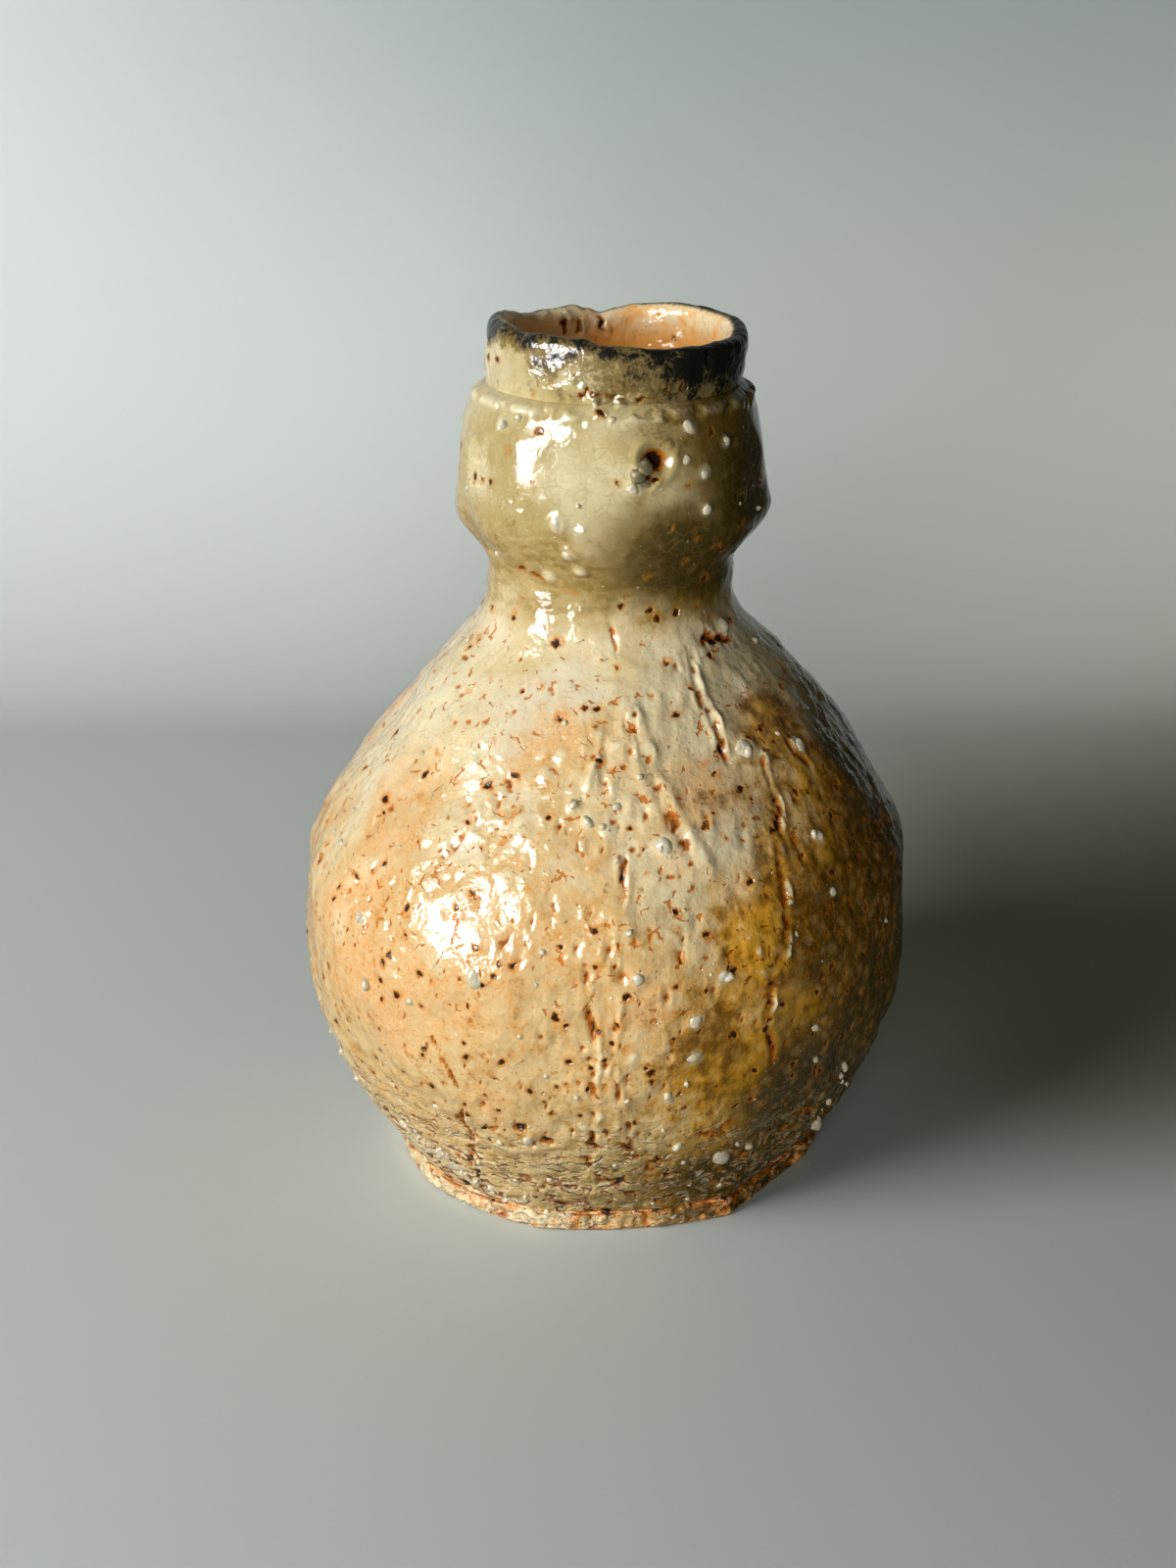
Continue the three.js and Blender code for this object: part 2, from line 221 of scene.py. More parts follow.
TONGUE = 1.4
crest_round = COLLAR_WALL / 2
crest = [(MOUTH_RADIUS + crest_round * (1 + math.cos(math.radians(turn))),
          rim_level + crest_round * (math.sin(math.radians(turn)) - 1)) for turn in range(0, 181, 12)]
side = [(collar_radius - 1.6, collar_base - TONGUE), (collar_radius - COLLAR_UNDERCUT, collar_base + 0.3),
        (collar_radius, collar_base + 4)]
collar = spun([(evenly(side + crest + [(MOUTH_RADIUS + 0.2, collar_base - TONGUE)], 0.5), 1)], 440)

EDGE_ROUND = 1.2
edge_round = [(FOOT_RADIUS - EDGE_ROUND * (1 - math.sin(math.radians(turn))),
               EDGE_ROUND * (1 - math.cos(math.radians(turn)))) for turn in range(0, 91, 15)]
rim_of_slab = evenly(edge_round + [(FOOT_RADIUS, slab_top - 0.4), (FOOT_RADIUS - 0.4, slab_top)], 0.4)
middle_above = evenly([(FOOT_RADIUS - 1, slab_top), (FOOT_RADIUS - 9, slab_top), (0, slab_top)], 8)
foot = spun([(evenly([(0, 0), (FOOT_RADIUS - 2, 0)], 9), 0), (rim_of_slab, 1), (middle_above, 0)], 424)
for name, shell in [("belly", belly), ("bulb", bulb), ("collar", collar), ("foot", foot)]:
    print(name, "has", len(shell.faces), "faces")

# %% [markdown]
# ## Shaping by hand
# A turned form is too perfect. The CAD model's unevenness is repeated here, so that both have
# the same shape: the foot is cut with a knife in straight strokes, the belly is a little fuller
# on its diagonals, the fingers left soft dents, the axis wanders, and the crest of the mouth
# rises and dips. The columns of points are also crowded towards the front, where the camera
# comes closest.

# %% Curves of the hand
FOOT_CORNERS = [(-170, -3.2, 0.7), (-140, 0, 0.9), (-105, 2.2, 0.6), (-60, 2.2, 0), (-25, -1, 0.8),
                (25, 0.6, 0.5), (70, 0.6, 0.6), (115, 1, 0.5), (155, 0, 0.4)]
FOOT_CUT_FADE = 14
CREST_WAVE = [(-156, 1.9), (-140, 1), (-108, 1), (-98, -0.5), (-60, -1.4), (-22, -1.3), (15, 0.4), (58, 1),
              (80, 0.2), (90, -0.8), (98, -1.8), (105, -0.8), (113, 0.5), (124, -0.3), (138, -0.6), (162, 1.6)]
WANDER = [(0, 0), (belly_level, 0), (shoulder_level, 2), (waist, 1), (bulb_level, 1.5),
          (collar_base, 1.6), (rim_level, 2.4)]
BELLY_OVAL = 0.7
DENT_DEPTH, DENT_WIDTH, DENT_BEND, DENT_FADE = 1.2, 18, 1.3, 9


def smooth(low, high, value):
    """0 up to low, 1 from high on, and a soft step between them."""
    share = np.clip((value - low) / (high - low), 0, 1)
    return share * share * (3 - 2 * share)


def between(stations, value):
    """Eased value between the two stations that hold it."""
    places, amounts = np.array([s[0] for s in stations]), np.array([s[1] for s in stations])
    after = np.clip(np.searchsorted(places, value, side="right"), 1, len(places) - 1)
    step = smooth(places[after - 1], places[after], value)
    return amounts[after - 1] + (amounts[after] - amounts[after - 1]) * step


def closed(stations):
    """Stations by azimuth, with the last repeated a turn before them and the first a turn after."""
    last, first = stations[-1], stations[0]
    return [(last[0] - 360, *last[1:]), *stations, (first[0] + 360, *first[1:])]


def foot_cut(azimuth):
    """How far the cut foot stands out of the round at an azimuth in degrees."""
    corners = np.array(closed(FOOT_CORNERS))
    after = np.clip(np.searchsorted(corners[:, 0], azimuth, side="right"), 1, len(corners) - 1)
    (begin, out_0, bow), (end, out_1, _) = corners[after - 1].T, corners[after].T
    r_0, r_1 = FOOT_RADIUS + out_0, FOOT_RADIUS + out_1

    def sine(degrees):
        return np.sin(np.radians(degrees))

    straight = r_0 * r_1 * sine(end - begin) / (r_0 * sine(azimuth - begin) + r_1 * sine(end - azimuth))
    arc = r_0 + (r_1 - r_0) * (azimuth - begin) / (end - begin)
    return straight + (arc - straight) * bow - FOOT_RADIUS


def finger_dent(places):
    """How far the fingers moved the skin in or out: three waves, each bent by the next."""
    x, y, z = (math.pi / DENT_WIDTH * places).T
    waves = (np.sin(x + DENT_BEND * np.sin(z)) + np.sin(y + DENT_BEND * np.sin(x))
             + np.sin(z + DENT_BEND * np.sin(y)))
    from_joint = np.min([abs(places[:, 2] - joint) for joint in (slab_top, waist, collar_base)], axis=0)
    return DENT_DEPTH / 3 * smooth(0, DENT_FADE, from_joint) * waves


print("the foot stands out by", foot_cut(np.arange(-180, 180)).max().round(1), "mm at its widest corner")

# %% Move every point as the hand left it
FRONT_CROWDING = 0.36


class Clay:
    """One clay piece at work: its points in millimetres, the way out of the wall, what is done."""

    def __init__(self, name, shell):
        self.name, self.shell = name, shell
        self.outwards, self.up, self.skin = self.layer("outwards"), self.layer("up"), self.layer("outside")
        x, y, level = np.array([vertex.co for vertex in shell.verts]).T
        azimuth = np.arctan2(y, x)
        azimuth = azimuth - FRONT_CROWDING * np.cos(azimuth)
        degrees = (np.degrees(azimuth) + 180) % 360 - 180
        near_foot = 1 - smooth(slab_top, slab_top + FOOT_CUT_FADE, level)
        on_belly = smooth(slab_top, belly_level, level) * (1 - smooth(belly_level, waist, level))
        swell = (near_foot * foot_cut(degrees) / FOOT_RADIUS
                 + on_belly * BELLY_OVAL * np.sin(2 * azimuth) / BELLY_RADIUS)
        radius = np.hypot(x, y) * (1 + swell)
        crest_share = np.maximum(0, level - collar_base) / COLLAR_HEIGHT
        away = np.column_stack([np.cos(azimuth), np.sin(azimuth), np.zeros(len(level))])
        self.place = radius[:, None] * away + np.column_stack([
            between(WANDER, level), np.zeros(len(level)),
            level + crest_share**2 * between(closed(CREST_WAVE), degrees)])
        if name in ("belly", "bulb"):
            self.place += (self.skin * finger_dent(self.place))[:, None] * away
        self.out = self.outwards[:, None] * away + np.column_stack([0 * level, 0 * level, self.up])
        self.level, self.degrees = level, degrees
        self.lift, self.hollow, self.tear, self.welt = np.zeros((4, len(level)))
        self.tones = {}
        self.move_to(self.place)
        self.tree = BVHTree.FromBMesh(shell)
        self.points = KDTree(len(self.place))
        for row, place in enumerate(self.place):
            self.points.insert(place, row)
        self.points.balance()

    def layer(self, name):
        values = self.shell.verts.layers.float[name]
        return np.array([vertex[values] for vertex in self.shell.verts])

    def move_to(self, places):
        for vertex, place in zip(self.shell.verts, places):
            vertex.co = place

    def near(self, centre, reach):
        """The rows of the points that lie within reach of a place."""
        return np.array([row for _, row, _ in self.points.find_range(centre, reach)], int)


clays = [Clay("belly", belly), Clay("bulb", bulb), Clay("collar", collar), Clay("foot", foot)]
belly_clay, bulb_clay, collar_clay, foot_clay = clays


def on_the_pot(pixel):
    """Where the camera's line through a pixel first meets the plain form, in millimetres."""
    hits = [clay.tree.ray_cast(CAMERA_PLACE / MM, sight_line(pixel)) for clay in clays]
    hits = [hit for hit in hits if hit[0] is not None]
    if not hits:
        raise ValueError(f"pixel {pixel} misses the vase")
    return np.array(min(hits, key=lambda hit: hit[3])[0])


print("the front of the belly at its widest:", on_the_pot((620, 990)).round(1))

# %% [markdown]
# ## Lumps of the hand and the kiln
# Over the soft dents the glazed wall has smaller lumps of the grog under the skin, 4 to 8 mm
# wide, and a faint orange-peel. Blender's fractal noise gives both: each is a smooth random
# height for every point, at its own size. Later steps only add to one height per point, called
# lift, and to the stain that collects in hollows.

# %% Two sizes of lumps
def lumps(places, size, seed, octaves=1):
    """Smooth random heights from about -1 to 1; size is the width of a lump in millimetres."""
    shift = np.array([17.3, -9.1, 5.7]) * seed
    return np.array([noise.fractal(place, 0.8, 2.0, octaves) for place in (places / size + shift).tolist()])


KNOB_HEIGHT = {"belly": 0.42, "bulb": 0.13, "collar": 0.28, "foot": 0.35}
GRIT_HEIGHT = {"belly": 0.09, "bulb": 0.03, "collar": 0.08, "foot": 0.16}
for clay in clays:
    clay.dents = lumps(clay.place, 21, 1)
    clay.knobs = lumps(clay.place, 7, 2, 2)
    clay.grit = lumps(clay.place, 2.4, 3, 2)
    clay.lift = (0.25 + 0.75 * clay.skin) * (KNOB_HEIGHT[clay.name] * clay.knobs + GRIT_HEIGHT[clay.name] * clay.grit)
    print(clay.name, "lumps from", clay.lift.min().round(2), "to", clay.lift.max().round(2), "mm")

# %% [markdown]
# ## Cracks and welts
# As the clay was stretched, its skin split downwards, and glaze ran beside the splits and stayed
# there as pale, lumpy welts. Each such line is a broken, narrow channel with a welt along its
# right side. Its course is given by pixels of the photograph, which are cast onto the form, and
# the distance of every point from that course decides how far it sinks or rises.

# %% Follow a course over the clay
def from_course(clay, rows, course):
    """Signed distance of points from a line (+ is right, seen going down), how far along, its length."""
    gap, along, run = np.full(len(rows), np.inf), np.zeros(len(rows)), 0
    places = clay.place[rows] + 0.9 * np.column_stack([clay.grit[rows], clay.knobs[rows], -clay.grit[rows]])
    for begin, end in zip(course, course[1:]):
        line = end - begin
        length = max(np.linalg.norm(line), 1e-6)
        share = np.clip((places - begin) @ line / length**2, 0, 1)
        away = places - begin - share[:, None] * line
        side = -np.sign(np.einsum("ij,ij->i", np.cross(away, line), clay.out[rows]))
        here = np.linalg.norm(away, axis=1) * np.where(side == 0, 1, side)
        closer = abs(here) < abs(gap)
        gap, along = np.where(closer, here, gap), np.where(closer, run + share * length, along)
        run += length
    return gap, along, run


crack_luck = np.random.default_rng(11)


def crack(pixels, width, depth, welt, stain=0.8, unbroken=0.5):
    """A channel with a welt on its right; unbroken is the share of its length that is open."""
    course = [on_the_pot(pixel) for pixel in pixels]
    middle = np.mean(course, axis=0)
    reach = max(np.linalg.norm(place - middle) for place in course) + 5 * width + 1
    waves = crack_luck.random((2, 60))
    for clay in clays:
        rows = clay.near(middle, reach)
        if not len(rows):
            continue
        gap, along, run = from_course(clay, rows, course)
        ends = smooth(0, 2.5 * width, along + width) * smooth(0, 2.5 * width, run - along + width)
        opened = np.interp(along / 2.4, range(60), waves[0])
        opened = smooth(0.85 - unbroken, 1.05 - unbroken, opened) if unbroken < 1 else 1
        bites = smooth(-0.3, 0.15, lumps(clay.place[rows], 1.6, 41))
        opened = opened * (0.45 + 0.55 * bites if unbroken < 1 else 0.8 + 0.2 * bites)
        fullness = np.interp(along / 2.6, range(60), waves[1]) ** 1.5 * 1.3
        open_width = width * (0.4 + 0.8 * opened + 0.7 * np.maximum(0, clay.grit[rows]))
        channel = np.exp(-(gap / open_width) ** 2) * opened * ends
        roll = np.exp(-((gap - 1.9 * width) / (1.25 * width)) ** 2) * fullness * ends
        lesser = 0.35 * np.exp(-((gap + 1.6 * width) / width) ** 2) * (1 - 0.5 * fullness) * ends
        clay.lift[rows] += clay.skin[rows] * (welt * (roll + lesser) - depth * channel)
        stained = np.exp(-(gap / (1.1 * open_width)) ** 2) * opened * ends
        clay.hollow[rows] = np.maximum(clay.hollow[rows], 1.2 * stain * stained)
        clay.welt[rows] = np.maximum(clay.welt[rows], roll * min(1, 1.3 * welt))


# %% Draw the cracks that the photograph shows
WELTED = [
    ([(628, 732), (640, 736), (650, 752), (657, 775), (665, 795), (672, 812)], 1.15, 0.7, 1.3, 0.8, 0.4),
    ([(672, 812), (686, 838), (700, 866), (716, 888)], 1.2, 1.0, 1.0, 0.8, 0.5),
    ([(622, 748), (616, 775), (612, 800), (622, 818), (634, 822)], 1.1, 0.4, 1.1, 0.7, 0.3),
    ([(600, 742), (604, 770), (594, 796), (588, 815)], 1.0, 0.4, 0.9, 0.7, 0.3),
    ([(637, 872), (637, 895), (634, 925)], 0.55, 1.1, 0.9, 0.9, 0.85),
    ([(634, 940), (637, 967), (633, 990)], 0.8, 0.5, 0.5, 0.7, 0.3),
    ([(628, 1010), (630, 1035), (624, 1067), (624, 1094), (634, 1130), (642, 1158), (650, 1184)], 0.6, 0.9, 1.2),
    ([(598, 986), (600, 1031), (607, 1063), (606, 1094), (605, 1135), (604, 1162), (600, 1190)], 0.65, 1.1, 0.8),
    ([(706, 668), (708, 690), (716, 714), (730, 740), (736, 764)], 0.75, 0.8, 1.1, 0.5, 0.5),
    ([(778, 772), (782, 790), (786, 806)], 0.65, 1.3, 1.0, 1, 0.95),
    ([(790, 812), (796, 830), (793, 846)], 0.6, 1.1, 0.9, 1, 0.8),
    ([(800, 846), (812, 860), (820, 880)], 0.6, 1.1, 0.7, 0.8, 0.9),
    ([(793, 862), (796, 890), (799, 915), (803, 940), (799, 967), (794, 985)], 0.75, 1.1, 1.2, 0.75, 0.6),
    ([(790, 1000), (782, 1034), (786, 1062), (790, 1084)], 0.75, 1.2, 0.9, 0.9, 0.6),
    ([(764, 950), (772, 990), (776, 1012), (782, 1030)], 0.8, 0.8, 0.7, 0.6, 0.45),
    ([(440, 1050), (443, 1070), (458, 1092), (468, 1112)], 0.5, 0.7, 0.45, 0.8, 0.5),
    ([(470, 1130), (475, 1146), (482, 1160), (482, 1176), (478, 1190)], 0.6, 1.2, 0.8, 0.9, 0.75),
]
for course in WELTED:
    crack(*course)
SPLIT = [
    ([(714, 652), (730, 651), (747, 650)], 0.9, 1.5, 0.8, 0.9, 1),
    ([(526, 578), (544, 585), (557, 595)], 0.42, 0.55, 0.1, 0.9, 1),
    ([(622, 637), (627, 648), (630, 668)], 0.5, 0.8, 0.25, 0.6, 1),
    ([(530, 612), (548, 614), (565, 615)], 0.35, 0.4, 0.1, 0.55, 0.9),
    ([(738, 752), (735, 764), (742, 776)], 0.6, 1.2, 0.5, 0.9, 1),
    ([(805, 745), (804, 758), (811, 767), (827, 779)], 0.5, 1.1, 0.4, 0.9, 1),
    ([(474, 848), (468, 860), (462, 872)], 0.55, 0.9, 0.6, 0.8, 1),
    ([(448, 862), (451, 872), (458, 878)], 0.45, 0.8, 0.3, 0.8, 1),
    ([(522, 955), (514, 963), (508, 970)], 0.5, 0.9, 0.4, 0.8, 1),
    ([(518, 795), (521, 806), (530, 812)], 0.55, 1.1, 0.3, 0.9, 1),
]
TORN = [[(453, 763), (453, 775)], [(425, 772), (423, 780)], [(390, 811), (396, 822), (403, 836)],
        [(404, 818), (398, 826)], [(476, 732), (484, 746)], [(484, 738), (497, 736)], [(524, 722), (526, 736)],
        [(497, 800), (504, 808), (512, 822)], [(466, 697), (472, 712)], [(510, 690), (512, 702)],
        [(636, 860), (652, 872)], [(680, 896), (696, 892)], [(620, 834), (634, 846)], [(700, 878), (712, 886)],
        [(482, 822), (486, 838)], [(536, 858), (530, 868)], [(588, 860), (596, 876)], [(690, 930), (706, 924)],
        [(560, 700), (566, 712)], [(447, 868), (436, 884)], [(560, 915), (566, 930)], [(752, 888), (756, 898)],
        [(656, 826), (664, 842)], [(436, 704), (447, 700)], [(470, 664), (478, 678)]]
ROLL = [(588, 402), (618, 403), (640, 407), (662, 408), (690, 405)]
FOOT_SLOTS = [[(566, 1229), (580, 1231), (588, 1230)], [(612, 1236), (628, 1234)], [(638, 1217), (650, 1219)],
              [(712, 1158), (727, 1158)], [(738, 1152), (748, 1142)], [(611, 1206), (640, 1205)],
              [(524, 1152), (538, 1150)], [(548, 1163), (566, 1166)], [(496, 1152), (508, 1150)],
              [(660, 1196), (672, 1192)], [(600, 1168), (612, 1172)], [(632, 1168), (648, 1174)]]
INSIDE_STRANDS = [[(576, 324), (577, 343)], [(591, 325), (592, 343)], [(614, 325), (615, 338)], [(687, 342), (688, 349)]]
for course in SPLIT:
    crack(*course)
for pixels in TORN:
    crack(pixels, 0.42, 0.6, 0.25, 0.7, 1)
crack(ROLL, 0.5, 0.9, 0.2, 1, 0.7)
for pixels in FOOT_SLOTS:
    crack(pixels, 0.6, 1.5, 0.3, 1, 1)
for pixels in INSIDE_STRANDS:
    crack(pixels, 0.6, 1.1, 0.9, 0.9, 1)
print("cracks drawn:", len(WELTED + SPLIT + TORN + FOOT_SLOTS + INSIDE_STRANDS) + 1)

# %% [markdown]
# ## Dimples, pits and buried grains
# Three things break the skin everywhere. Where glaze sank over a tear there is a soft, shiny
# dimple with the tear at its bottom. Where gas broke through low on the belly there is a small
# dark pit. And grains just under the glaze push up soft knobs. A few thousand of them, with
# sizes and places drawn from a seeded generator, cover the wall, and those that stand out in
# the photograph are placed by pixel.

# %% Press one hollow or raise one knob
def hollow(centre, radius, depth, stain=0.0, lip=0.2, tear=0.0, length=1.0, turn=0.0):
    """A bowl in the wall; length stretches it along a turned direction. A negative depth is a knob."""
    for clay in clays:
        rows = clay.near(centre, 2.2 * radius * length)
        if not len(rows):
            continue
        offset, out = clay.place[rows] - centre, clay.out[rows[0]]
        level_way = np.cross((0, 0, 1), out)
        level_way = level_way / max(np.linalg.norm(level_way), 1e-6)
        way = math.cos(turn) * level_way + math.sin(turn) * np.cross(out, level_way)
        along = offset @ way
        across = np.einsum("ij,ij->i", offset, offset) - along**2
        away = np.sqrt(np.maximum(0, across) + (along / length) ** 2) / radius
        skin = clay.skin[rows]
        clay.lift[rows] += skin * depth * (lip * np.exp(-((away - 1.3) / 0.35) ** 2) - np.exp(-1.8 * away**2))
        clay.hollow[rows] = np.maximum(clay.hollow[rows], skin * stain * np.exp(-2.6 * away**2))
        clay.tear[rows] = np.maximum(clay.tear[rows], skin * tear * np.exp(-1.6 * away**2))


def scatter(clay, count, lowest, highest, luck):
    """Random points of the outside between two levels, as likely in front as behind."""
    rows = np.flatnonzero((clay.skin > 0.5) & (clay.level > lowest) & (clay.level < highest))
    weight = (1 + FRONT_CROWDING * np.sin(np.radians(clay.degrees[rows]))) * np.hypot(*clay.place[rows, :2].T)
    return clay.place[luck.choice(rows, count, replace=False, p=weight / weight.sum())]


# %% Scatter them over the wall
wall_luck = np.random.default_rng(5)
for clay, count, lowest, highest in [(belly_clay, 620, 46, 128), (bulb_clay, 16, 150, 183)]:
    for centre in scatter(clay, count, lowest, highest, wall_luck):
        size, stretch, deep, turn = wall_luck.random(4)
        hollow(centre, 0.8 + 0.9 * size**1.5, 0.12 + 0.42 * deep**2, 0, 0.15, 0.4 + deep, 1 + 1.3 * stretch, 3.1 * turn)
for clay, count, lowest, highest in [(belly_clay, 640, 8, 84), (belly_clay, 60, 84, 130), (bulb_clay, 10, 150, 183),
                                     (collar_clay, 14, 189, 197)]:
    for centre in scatter(clay, count, lowest, highest, wall_luck):
        size, stretch, deep, turn = wall_luck.random(4)
        radius = 0.45 + 0.75 * size**2
        hollow(centre, radius, radius * (0.5 + 0.5 * deep), 0.55 + 0.45 * deep, 0.3, 0, 1 + 0.9 * stretch, 1.2 + turn)
for clay, count, lowest, highest in [(belly_clay, 330, 10, 130), (bulb_clay, 26, 150, 183), (collar_clay, 12, 188, 197)]:
    for centre in scatter(clay, count, lowest, highest, wall_luck):
        size, stretch, height, turn = wall_luck.random(4)
        hollow(centre, 1.1 + 1.3 * size**2, -0.12 - 0.36 * height**1.5, 0, 0, 0, 1 + 0.8 * stretch, 3.1 * turn)

SEEN_HOLLOWS = [
    ((669, 470), 3.4, 4.2, 1.9), ((661, 488), 1.9, 2.2, 1.3), ((655, 498), 1.8, 0.7, 0.5), ((516, 432), 1.9, 0.8, 0.4),
    ((356, 887), 0.9, 0.9, 1), ((416, 1010), 0.9, 0.9, 1), ((530, 672), 0.8, 0.7, 1), ((690, 680), 1.3, 0.7, 0.9),
    ((767, 926), 0.9, 0.9, 1), ((879, 1012), 1.2, 1, 1), ((840, 1001), 1.0, 0.7, 0.9), ((635, 997), 1.8, 1.6, 0.75),
    ((588, 969), 1.1, 1, 0.9), ((553, 1025), 0.8, 0.8, 0.9), ((454, 1035), 0.7, 0.7, 0.9), ((390, 1060), 0.9, 0.8, 0.8),
    ((411, 1068), 1.0, 0.9, 0.7), ((443, 1064), 0.9, 1.0, 0.9), ((416, 1102), 1.4, 1.3, 0.75), ((567, 1062), 0.9, 0.8, 0.8),
    ((594, 1071), 1.1, 1, 0.9), ((606, 1062), 1.0, 0.9, 0.9), ((599, 1040), 1.1, 1, 0.9), ((623, 1069), 0.9, 0.9, 0.9),
    ((590, 1105), 1.3, 1.1, 0.75), ((723, 1036), 1.3, 1.2, 0.9), ((682, 1079), 1.1, 1, 0.8), ((721, 1070), 1.2, 1.0, 1),
    ((768, 1095), 1.2, 0.9, 0.9), ((645, 1218), 1.5, 1.8, 1), ((605, 1098), 1.0, 1.2, 1), ((605, 1138), 1.0, 1.2, 1),
    ((606, 1157), 1.0, 1.2, 1), ((548, 845), 1.4, 0.5, 0.3), ((500, 872), 1.5, 0.5, 0.3), ((540, 878), 1.2, 0.6, 0.5),
    ((506, 812), 1.3, 0.6, 0.5), ((545, 825), 1.1, 0.5, 0.4)]
for pixel, radius, depth, stain in SEEN_HOLLOWS:
    hollow(on_the_pot(pixel), radius, depth, stain, 0.15)
PRESSED = [((477, 450), 13, -1.2), ((475, 518), 8, 0.7), ((774, 522), 11, 1.5), ((479, 540), 8, 1.2), ((774, 455), 8, -0.7), ((660, 548), 10, 0.7), ((560, 545), 9, 0.6)]
for pixel, radius, depth in PRESSED:
    hollow(on_the_pot(pixel), radius, depth, lip=0)
calm = bulb_clay.near(on_the_pot((553, 466)), 14)
away = np.linalg.norm(bulb_clay.place[calm] - on_the_pot((553, 466)), axis=1)
bulb_clay.lift[calm] *= 1 - 0.9 * np.exp(-((away / 9) ** 4))
hollow(on_the_pot((553, 466)), 9, 0.34, lip=0, length=1.6, turn=1.57)
SEEN_KNOBS = [((762, 762), 2.6, 1.3), ((776, 770), 1.6, 0.5), ((737, 639), 1.9, 0.8), ((678, 862), 2.3, 1.0),
              ((592, 583), 2.0, 0.8), ((560, 587), 2.2, 0.5), ((600, 838), 2.6, 0.7), ((620, 846), 2.2, 0.6),
              ((586, 822), 2.0, 0.5), ((810, 757), 1.7, 0.8), ((606, 405), 1.5, 0.8), ((633, 410), 1.4, 0.8),
              ((488, 830), 1.8, 0.5), ((530, 840), 2.0, 0.5), ((516, 895), 2.4, 0.5), ((470, 915), 2.2, 0.4),
              ((555, 790), 2.0, 0.5), ((572, 770), 1.8, 0.4), ((646, 1080), 1.5, 0.5), ((612, 1120), 1.5, 0.6),
              ((618, 1090), 1.4, 0.6), ((632, 1150), 1.5, 0.6), ((594, 1150), 1.6, 0.6), ((652, 500), 1.7, 0.6)]
for pixel, radius, height in SEEN_KNOBS:
    hollow(on_the_pot(pixel), radius, -height)
    for clay in clays:
        rows = clay.near(on_the_pot(pixel), 2 * radius)
        away = np.linalg.norm(clay.place[rows] - on_the_pot(pixel), axis=1) / radius
        clay.welt[rows] = np.maximum(clay.welt[rows], 0.9 * np.exp(-(away**2)))
print("the deepest hollow lies", round(-min(clay.lift.min() for clay in clays), 1), "mm under the skin")

# %% [markdown]
# ## Dry wrinkles, the bead under the collar and the cut foot
# Near the foot the clay was scraped while it was drying, which tore it into level wrinkles.
# Noise that is stretched sideways has long level folds, and its zero line makes the tears. Under
# the collar the glaze gathered in a thick bead, and the edge of the foot slab is rough where the
# knife dragged through the grains.

# %% Wrinkle the foot and run the bead
for clay in (belly_clay, foot_clay):
    clay.dry = 1 - smooth(16, 44, clay.level + 7 * clay.dents)
    folds = lumps(clay.place * (0.34, 0.34, 1), 3.4, 7, 2)
    gaps = (1 - smooth(0.01, 0.11, np.abs(folds))) * smooth(0.04, 0.24, lumps(clay.place, 5, 8))
    crumbs = lumps(clay.place, 1.9, 9, 2)
    clay.lift += clay.skin * clay.dry * (0.45 * folds + 0.22 * crumbs - 0.8 * gaps)
    clay.hollow = np.maximum(clay.hollow, 0.75 * clay.skin * clay.dry * gaps)
    joint = np.exp(-(((clay.level - 4.7) / 0.6) ** 2)) * smooth(-0.25, 0.25, lumps(clay.place, 6, 51))
    clay.hollow = np.maximum(clay.hollow, 0.8 * clay.skin * joint)

bead = np.exp(-((bulb_clay.level - 184.7) / 1.4) ** 2) * smooth(-0.5, 0.2, lumps(bulb_clay.place, 5, 12, 2))
bulb_clay.lift += bulb_clay.skin * 1.2 * bead
bulb_clay.welt = np.maximum(bulb_clay.welt, bulb_clay.skin * 0.8 * bead)

ragged = lumps(foot_clay.place * (1, 1, 0.6), 3.4, 15, 3)
foot_clay.lift += foot_clay.skin * (1.2 * ragged - 0.2)
foot_clay.lift *= smooth(0.2, 1.4, foot_clay.level) * foot_clay.skin
foot_clay.hollow = np.maximum(foot_clay.hollow, foot_clay.skin * 0.45 * smooth(0.2, 0.6, -ragged))
print("the foot's edge is rough by", foot_clay.lift.max().round(2), "mm")

# %% [markdown]
# ## Seats of the feldspar grains
# The large grains are pieces of their own, at the places of their CAD nodes. The wall has to meet
# them, so near each grain the random lumps fade out and the glaze rises to it in a soft mound.

# %% Settle the walls round the grains
def middle_and_reach(node):
    low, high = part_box(node)
    return np.array((low + high) / 2) / MM, (high - low).length / MM / 3.46


grain_nodes = sorted(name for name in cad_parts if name.startswith("feldspar_"))
for node in grain_nodes:
    middle, reach = middle_and_reach(node)
    for clay in clays:
        rows = clay.near(middle, 2.6 * reach)
        away = np.linalg.norm(clay.place[rows] - middle, axis=1) / reach
        held = np.exp(-(away / 1.35) ** 4) * clay.skin[rows]
        clay.lift[rows] = clay.lift[rows] * (1 - held) + 0.4 * np.exp(-(away / 1.4) ** 4) * clay.skin[rows]
        clay.hollow[rows] *= 1 - held
        clay.tear[rows] *= 1 - held
        clay.welt[rows] = np.maximum(clay.welt[rows], 0.6 * np.exp(-(away / 1.5) ** 4) * clay.skin[rows])
print("grains to seat:", len(grain_nodes))
